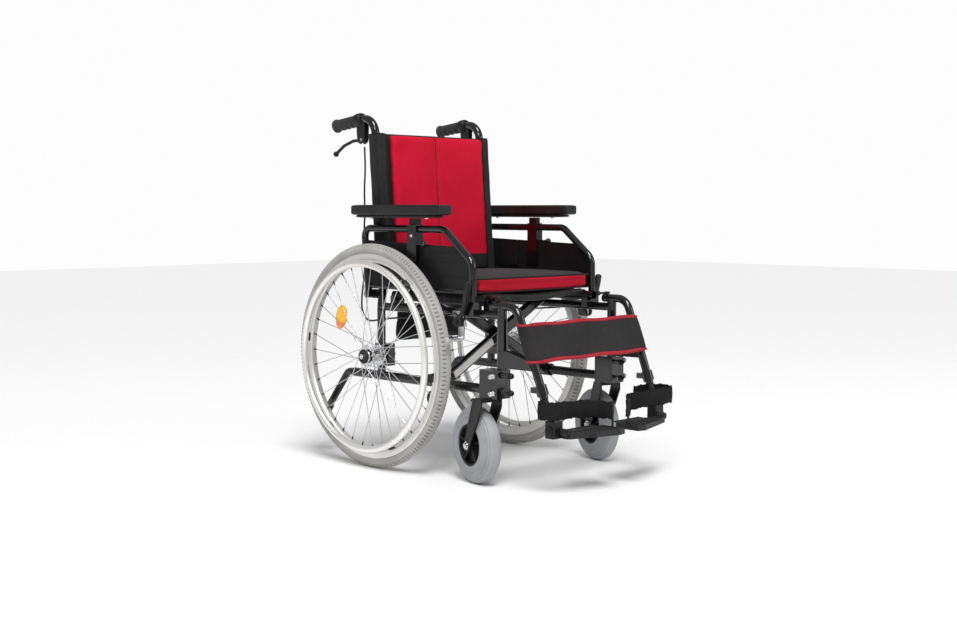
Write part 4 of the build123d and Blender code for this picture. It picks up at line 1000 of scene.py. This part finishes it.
def makeBack():
    # everything is placed by its height up the lean; the rear cloth and its straps sag between the canes by
    # a cosine
    depth = (back["rear"] - back["front"]) / 2
    half = (back["panelHalf"] - 0.002, back["height"] / 2 - 0.001, depth - 0.002)
    flat = pillow((0, 0, 0), half, power=16, endPower=44, rows=90, sides=112)
    local = flat["points"]
    flat["points"] = leaned(np.stack([local[..., 0] + back["shift"],
                                      (back["front"] + back["rear"]) / 2 + local[..., 2],
                                      back["height"] / 2 + local[..., 1]], -1))
    black = looks["black knit"]
    mark = {"axis": "Z", "from": back["redFoot"] - 0.0005, "to": back["redFoot"] + 0.0005,
            "tone": black["tone"],
            "other": black["other"], "hole": (0.2, 0.2, 0.2)}
    look = dict(looks["crimson knit"], mark=mark)
    finishes["back knit"] = makeFinish("back knit", look)
    piece = makePiece("back_panel", [flat], [finishes["back knit"]])

    def seam(before, after):
        # a sewn line down the middle draws both faces in by a bell curve, and the panel bows between the
        # canes
        c, s = math.cos(back["lean"]), math.sin(back["lean"])
        d = (before[:, 1] - back["foot"][0]) * c - (before[:, 2] - back["foot"][1]) * s
        h = (before[:, 1] - back["foot"][0]) * s + (before[:, 2] - back["foot"][1]) * c
        after = after.copy()
        forward = smoothStep(-(d - (back["front"] + back["rear"]) / 2), 0, depth)
        dip = 0.0065 * np.exp(-(before[:, 0] / 0.0055) ** 2) + 0.002 * np.exp(-(before[:, 0] / 0.02) ** 2)
        bow = 0.004 * np.cos(np.pi * np.clip(before[:, 0] / back["panelHalf"], -1, 1) / 2)
        ripple = 0.0008 * np.sin(h * 41 + 2.0 * np.sin(before[:, 0] * 17)) * np.cos(before[:, 0] * 23)
        move = dip * forward + bow + ripple * forward
        after[:, 1] += move * c
        after[:, 2] -= move * s
        return after

    inflate(piece, panel, seam)
    boxUv(piece)
    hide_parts("back_upholstery")
    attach(piece, "right_frame")
    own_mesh(piece)
    # crimson seam cord in the groove and the rear cloth with its hems
    h = np.linspace(0.004, back["height"] - 0.003, 60)
    cord = leaned(np.stack(np.broadcast_arrays(0 * h, back["front"] + 0.0075 + 0 * h, h), -1))
    seamCord = makePiece("back_seam", [carried(cord, roundSection(0.0016, 10), (0, 1, 0))],
                         [finishes["crimson piping"]], "right_frame")
    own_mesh(seamCord)
    x = np.linspace(-back["clothHalf"], back["clothHalf"], 70)
    h = np.linspace(0.0, back["height"], 70)
    bowed = np.cos(np.pi * x[None] / (2 * back["clothHalf"]))
    sag = -0.012 + 0.006 * bowed * np.sin(np.pi * h[:, None] / back["height"]) ** 0.5
    points = leaned(np.stack(np.broadcast_arrays(x[None], sag, h[:, None]), -1))
    rear = makePiece("back_rear_cloth", [grid(points, wrapColumns=False, caps=False)],
                     [finishes["black knit"]], None, closed=False)
    thicken(rear, 0.0016)
    outward(rear)
    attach(rear, "right_frame")
    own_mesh(rear)
    straps = []
    for up in back["strapHeights"]:
        line = np.linspace(-back["strapHalf"], back["strapHalf"], 40)
        path = leaned(np.stack(np.broadcast_arrays(line,
                                                   -0.0095
                                                   + 0.0055 * np.cos(np.pi * line / (2 * back["strapHalf"])),
                                                   up + 0 * line), -1))
        straps.append(carried(path, boxySection(0.0011, 0.0125, 5, 24), (0, 0, 1)))
    bands = makePiece("back_tension_straps", straps, [finishes["black webbing"]], "right_frame")
    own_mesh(bands)
    # sleeves round the canes: a rounded box section carried up each cane, with piping where they meet the
    # panel
    for side, sign in handed.items():
        h = np.concatenate([np.linspace(0, 0.006, 4), np.linspace(0.012, back["height"] - 0.012, 60),
                            np.linspace(back["height"] - 0.006, back["height"], 4)])
        tuck = np.exp(-((h - back["height"]) / 0.004) ** 2)
        waist = 1 - 0.02 * np.sin(np.pi * h / back["height"]) - 0.10 * tuck
        section = boxySection(*back["sleeveHalf"], 3.2, back["sleeveSides"])
        x = sign * back["sleeveX"] + sign * section[:, 0] * waist[:, None]
        d = back["sleeveDepth"] + section[:, 1] * waist[:, None]
        flank = smoothStep(abs(section[:, 0]), 0.010, 0.018)
        pleat = 0.0007 * np.sin(h[:, None] * 60 + 3 * section[:, 1] / 0.024) * flank
        points = leaned(np.stack(np.broadcast_arrays(x + sign * pleat, d, h[:, None]), -1))
        sleeve = makePiece(side + "_back_sleeve", [grid(points, caps=False)], [finishes["black knit"]], None,
                           closed=False)
        outward(sleeve)
        thicken(sleeve, 0.0018, -1.0)
        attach(sleeve, side + "_frame")
        line = np.linspace(0.002, back["height"] - 0.002, 60)
        rims = []
        for atX, atD in ((0.187, -0.0240), (0.2145, -0.0185)):
            path = leaned(np.stack(np.broadcast_arrays(sign * atX, atD, line), -1))
            rims.append(carried(path, roundSection(0.0017, 10), (0, 1, 0)))
        top = section * 0.9
        path = leaned(np.stack([sign * (back["sleeveX"] + top[:, 0]), back["sleeveDepth"] + top[:, 1],
                                np.full(len(top), back["height"] - 0.001)], -1))
        rims.append(carried(path, roundSection(0.0019, 10), (0, 0, 1), wrapRows=True))
        makePiece(side + "_sleeve_piping", rims, [finishes["black piping"]], side + "_frame")


makeBack()
print("back built")


bag = {"voxel": 0.006, "pressure": 3.0, "cap": 0.008, "stiffness": 10.0, "bending": 0.6, "top": 0.442,
       "foot": 0.330,
       "behind": 0.055, "halfWidth": 0.131, "halfThick": 0.015, "edge": 0.133, "folded": 0.19,
       "strapX": 0.0955, "flapHalf": 0.128}


def makeBag():
    # a superellipsoid blown up as cloth, narrower towards its top and fuller towards its foot by a cosine
    centre = np.array([0, axleY + bag["behind"], (bag["foot"] + bag["top"]) / 2])
    half = (bag["halfWidth"], bag["halfThick"], (bag["top"] - bag["foot"]) / 2 - 0.002)
    g = pillow((0, 0, 0), (half[0], half[2], half[1]), power=4, endPower=9, rows=60, sides=80)
    local = g["points"]
    v = local[..., 1] / half[2]
    sag = 1 + 0.25 * np.cos(np.pi * np.clip(v + 0.35, -1, 1) / 2)
    g["points"] = centre + np.stack([local[..., 0] * (1 - 0.03 * v), local[..., 2] * sag,
                                     local[..., 1] - 0.004 * np.cos(local[..., 0] * 12) * (v < 0)], -1)
    piece = makePiece("bag_body", [g], [finishes["bag cloth"]])
    inflate(piece, bag)
    boxUv(piece)
    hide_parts("under_seat_bag")
    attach(piece, "right_frame")
    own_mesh(piece)
    parts = []
    for x in (-bag["strapX"], bag["strapX"]):
        line = np.linspace(0, 1, 30)
        path = np.stack([x + 0 * line, axleY + 0.0415 - 0.004 * np.sin(np.pi * line), 0.412 + line * 0.106],
                        -1)
        parts.append(carried(path, boxySection(0.0125, 0.0011, 5, 24), (0, 1, 0)))
    flap = np.linspace(-bag["flapHalf"], bag["flapHalf"], 60)
    path = np.stack([flap, np.full(60, axleY + 0.0375),
                     0.402 - 0.014 * (flap / bag["flapHalf"]) ** 4 + 0.002 * np.sin(flap * 40)], -1)
    parts.append(carried(path, roundSection(0.0018, 10)))
    straps = makePiece("bag_straps", parts, [finishes["black webbing"]], "right_frame")
    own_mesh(straps)


makeBag()


calf = {"low": 0.330, "high": 0.414, "half": 0.0036, "split": 0.196, "wrap": 0.0152, "legX": 0.2105,
        "steps": 90, "piping": {"band": (0.0056, 0.0050), "wrap": (0.0042, 0.0036)}}


hanger = {"top": 0.460, "x": 0.215, "y": -0.4905, "inward": 0.009, "length": 0.302,
          "lean": math.radians(21.7)}


def hangerAt(height):
    # the middle of the hanger's straight leg at a height: x shrinks and y runs forward as it goes down
    drop = hanger["top"] - height
    return (hanger["x"] - hanger["inward"] * drop / hanger["length"],
            hanger["y"] + axleY - drop * math.tan(hanger["lean"]))


def makeCalfStrap():
    # the band bows back between the legs by a squared cosine, and each end turns round its leg as an arc
    section = boxySection(0.5, 1, 3.0, 44)
    lift = section[:, 0] + 0.5  # share of the height, from 0 at the lower edge to 1 at the upper
    high = calf["low"] - 0.001 + lift * (calf["high"] - calf["low"] + 0.002)
    alongLeg = hangerAt(high)[1]
    thick = calf["half"] * section[:, 1]

    def band(name, body, plan, squeeze=None):
        # plan gives, for each step along the strap, x and how far it stands ahead of the hanger's middle,
        # with its outward direction
        x, ahead, nx, ny = plan
        points = np.stack(np.broadcast_arrays(x[:, None] + nx[:, None] * thick,
                                              alongLeg[None] - ahead[:, None] + ny[:, None] * thick,
                                              high[None]), -1)
        piece = makePiece(name, [grid(points)], [finishes["black knit"]], body,
                          "calf_strap" if squeeze else (), sharp=80)
        cords = []
        for edge, tilt in ((0.0, -0.0015), (1.0, 0.0015)):
            z = calf["low"] + edge * (calf["high"] - calf["low"]) + tilt
            line = np.stack(np.broadcast_arrays(x, hangerAt(z)[1] - ahead,
                                                z + 0.0012 * np.sin(x * 38 + edge * 2)), -1)
            cords.append(carried(line, boxySection(*calf["piping"]["band" if squeeze else "wrap"], 2.2, 14)))
        rim = makePiece(name + "_piping", cords, [finishes["crimson piping"]], body)
        for p in (piece, rim):
            if squeeze:
                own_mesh(p)

    x = np.linspace(-calf["split"], calf["split"], calf["steps"])
    radius = calf["wrap"]
    bow = 0.003 * np.sin(x * 15 + 0.6) - 0.006 * np.cos(np.pi * x / (2 * calf["split"])) ** 2
    bow = radius + bow * smoothStep(calf["split"] - abs(x), 0, 0.05)
    band("calf_band", "right_hanger", (x, bow, 0 * x, -np.ones(calf["steps"])),
         (2 * calf["split"] - back["folded"]) / (2 * calf["split"]))
    for side, sign in handed.items():
        a = np.linspace(0, np.pi * 0.97, 40)
        xs = np.concatenate([np.linspace(calf["split"], calf["legX"], 6)[:-1],
                             calf["legX"] + radius * 0.95 * np.sin(a)])
        ahead = np.concatenate([np.full(5, radius), radius * np.cos(a)])
        nx = np.concatenate([np.zeros(5), np.sin(a)])
        ny = -np.concatenate([np.ones(5), np.cos(a)])
        band(side + "_calf_wrap", side + "_hanger", (sign * xs, ahead, sign * nx, ny))


makeCalfStrap()
print("bag and calf strap built")


heel = {"wide": 0.044, "thick": 0.0012, "low": 0.188, "post": 0.031, "droop": 0.012, "legHeight": 0.210,
        "steps": 150, "gap": {"left": 0.036, "right": 0.021}}


def makeHeelLoop(side):
    # the webbing's line in plan runs from the post back round the leg tube; its edges waver by a sum of sines
    sign = handed[side]
    legX, legY = hangerAt(heel["legHeight"])
    post = np.array([heel["post"], axleY - 0.648])
    g = heel["gap"][side]
    plan = softLine([(post[0] - 0.006, post[1] + 0.003), (post[0] + 0.012, post[1] + 0.004),
                     (0.075, (post[1] + legY) / 2 + 0.010), (legX - 0.045, legY - g + 0.004),
                     (legX - 0.004, legY - g - 0.006), (legX + g - 0.002, legY - g + 0.002),
                     (legX + g + 0.001, legY + g - 0.012),
                     (legX + 0.004, legY + g + 0.002), (legX - g, legY + g)], heel["steps"])
    s = np.linspace(0, 1, heel["steps"])
    v = np.linspace(-0.5, 0.5, 16)
    ragged = 0.0020 * np.sin(s * 61) + 0.0016 * np.sin(s * 137 + 1.3) + 0.0010 * np.sin(s * 290)
    rise = (0.003 * np.sin(np.pi * s) - heel["droop"] * (1 - smoothStep(s, 0, 0.6)))[:, None]
    share = v[None] + 0.5
    z = heel["low"] + heel["wide"] * share + (ragged * 0.5)[:, None] * (1 - 2 * share) + rise
    cup = 0.0018 * np.cos(np.pi * v)[None]
    across = unit(np.gradient(plan, axis=0))
    normal = np.stack([across[:, 1], -across[:, 0]], -1)
    points = np.stack(np.broadcast_arrays(sign * (plan[:, None, 0] + normal[:, None, 0] * cup),
                                          plan[:, None, 1] + normal[:, None, 1] * cup, z), -1)
    strap = makePiece(side + "_heel_strap", [grid(points, wrapColumns=False, caps=False)],
                      [finishes["black webbing"]], None, side + "_heel_loop", closed=False)
    thicken(strap, 2 * heel["thick"])
    outward(strap)
    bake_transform(strap)


for side in handed:
    makeHeelLoop(side)
print("heel loops built")


bolts = {"heights": (0.243, 0.286), "outer": (0.263, 0.4465), "front": (0.217, 0.4675),
         "stem": (0.215, 0.418, 0.245),
         "guard": (0.2460, -0.1355), "guardHeights": (0.560, 0.632), "bossLeg": 0.178, "bossHeight": 0.163}


def boltHead(place, axis, radius, height, finish=0):
    # a head whose radius steps in over the upper half of its height, round a sunk socket
    profile = [(0, radius), (height * 0.45, radius), (height * 0.8, radius * 0.85), (height, radius * 0.5),
               (height * 0.7, radius * 0.42), (height * 0.7, radius * 0.1)]
    return lathe(profile, place, axis, 28, finish=finish)


def makeHardware(side):
    # turned heads on the caster housing, the armrest and the foot of the leg rest
    sign = handed[side]
    heads = []
    for z in bolts["heights"]:
        heads.append(boltHead((sign * bolts["outer"][0], axleY - bolts["outer"][1], z), (sign, 0, 0), 0.0068,
                              0.0045))
        heads.append(boltHead((sign * bolts["front"][0], axleY - bolts["front"][1], z), (0, -1, 0), 0.0078,
                              0.0130, finish=1))
    heads.append(lathe([(-0.004, 0.0132), (0.004, 0.0132), (0.004, 0.0126), (-0.004, 0.0126)],
                       (sign * bolts["stem"][0], axleY - bolts["stem"][1], bolts["stem"][2]), (0, 1, 0), 40,
                       ring=True, finish=2))
    for z in bolts["guardHeights"]:
        heads.append(boltHead((sign * bolts["guard"][0], axleY + bolts["guard"][1], z), (sign, 0, 0), 0.0050,
                              0.0035))
    makePiece(side + "_frame_bolts", heads[:5], [finishes["bright steel"], finishes["black moulded plastic"],
                                                 finishes["amber reflector"]], side + "_frame")
    makePiece(side + "_sleeve_bolts", heads[5:], [finishes["bright steel"]], side + "_armrest")
    lowLeg, highLeg = corners(side + "_leg_tube")
    faceX = sign * max(abs(lowLeg[0]), abs(highLeg[0]))
    legY = hangerAt(bolts["bossLeg"])[1]
    ring = [(0, 0.0118), (0.0016, 0.0118), (0.0024, 0.0108), (0.0024, 0.0082), (0.0012, 0.0076),
            (0.0012, 0.0052), (0.0030, 0.0046), (0.0034, 0.0028), (0.0022, 0.0022), (0.0022, 0.0005)]
    makePiece(side + "_leg_boss", [lathe(np.array(ring) * (sign, 1),
                                         (faceX, legY - 0.001, bolts["bossHeight"]), (1, 0, 0), 40)],
                                         [finishes["black moulded plastic"]], side + "_leg_rest")


for side in handed:
    makeHardware(side)


def makeBracePlate():
    # a thin bright plate on the front face of the brace, from its foot to near the crossing
    foot, head = np.array([-0.215, axleY - 0.222, 0.245]), np.array([0.1875, axleY - 0.222, 0.468])
    run = unit(head - foot)
    path = foot + (0, -0.0092, 0) + run * np.linspace(0.040, 0.205, 30)[:, None]
    plate = [carried(path, boxySection(0.0006, 0.0095, 6, 24), (0.4, 0, 1))]
    makePiece("brace_plate", plate, [finishes["satin alloy"]], "brace_a")


makeBracePlate()


footRibs = {"count": 9, "y": (0.668, 0.590), "inner": 0.038, "taper": 0.020, "outer": 0.150, "height": 0.1563}


def makeFootRibs(side):
    # low ridges across the footplate's tread, each a flattened tube
    sign = handed[side]
    y = np.linspace(axleY - footRibs["y"][0], axleY - footRibs["y"][1], footRibs["count"])
    inner = footRibs["inner"] + footRibs["taper"] * smoothStep(-(y - axleY), 0.64, 0.70)
    outer = footRibs["outer"] + 0 * y
    t = np.linspace(0, 1, 8)[None, :, None]
    start = np.stack([sign * inner, y, np.full(len(y), footRibs["height"])], -1)[:, None]
    end = np.stack([sign * outer, y, np.full(len(y), footRibs["height"])], -1)[:, None]
    makePiece(side + "_footplate_ribs", [carried(start + t * (end - start),
                                                 boxySection(0.0016, 0.0013, 2.5, 10))],
                     [finishes["grey moulded plastic"]], side + "_footplate")


for side in handed:
    makeFootRibs(side)
print("hardware built")


studio = {"floor": (0.94, 0.94, 0.94), "world": 0.42, "backdrop": 0.98, "sun": 2.2, "sunSize": 24,
          "key": 46.0, "fill": 16.0, "half": 12.0}


def makeFloor():
    # one large flat square that the tyres stand on
    s = studio["half"]
    mesh = bpy.data.meshes.new("floor")
    mesh.from_pydata([(-s, -s, 0), (s, -s, 0), (s, s, 0), (-s, s, 0)], [], [(0, 1, 2, 3)])
    floor = bpy.data.objects.new("floor", mesh)
    bpy.context.scene.collection.objects.link(floor)
    floor.data.materials.append(makeFinish("studio floor",
                                           dict(tone=studio["floor"],
                                                other=[c * 1.01 for c in studio["floor"]], rough=(0.5, 0.6),
                                                bump=0.0)))


def makeLamp(name, place, target, size, power):
    # tilted and turned by the arc tangents of the way to its target
    lamp = bpy.data.objects.new(name, bpy.data.lights.new(name, "AREA"))
    lamp.data.shape, lamp.data.size, lamp.data.size_y, lamp.data.energy = "RECTANGLE", size[0], size[1], power
    lamp.location = place
    way = np.array(target, float) - np.array(place, float)
    lamp.rotation_euler = (math.atan2(np.hypot(way[0], way[1]), -way[2]), 0, math.atan2(-way[0], way[1]))
    bpy.context.scene.collection.objects.link(lamp)


makeFloor()
makeLamp("key", (-2.6, -2.0, 3.0), (0, 0, 0.45), (1.6, 0.9), studio["key"])
makeLamp("fill", (1.8, -3.2, 2.0), (0, 0, 0.45), (1.2, 1.2), studio["fill"])
sun = bpy.data.objects.new("sun", bpy.data.lights.new("sun", "SUN"))
sun.data.energy, sun.data.angle = studio["sun"], math.radians(studio["sunSize"])
sun.rotation_euler = (math.radians(24), math.radians(-18), 0)
bpy.context.scene.collection.objects.link(sun)
world = bpy.data.worlds.new("studio")
bpy.context.scene.world = world
world.use_nodes = True
sky = world.node_tree
path = sky.nodes.new("ShaderNodeLightPath")
strength = sky.nodes.new("ShaderNodeMapRange")
strength.inputs["To Min"].default_value = studio["world"]
strength.inputs["To Max"].default_value = studio["backdrop"]
sky.links.new(path.outputs["Is Camera Ray"], strength.inputs["Value"])
sky.links.new(strength.outputs[0], sky.nodes["Background"].inputs["Strength"])
sky.nodes["Background"].inputs["Color"].default_value = (1, 1, 1, 1)
bpy.context.scene.view_settings.view_transform = "Standard"
print("studio set")
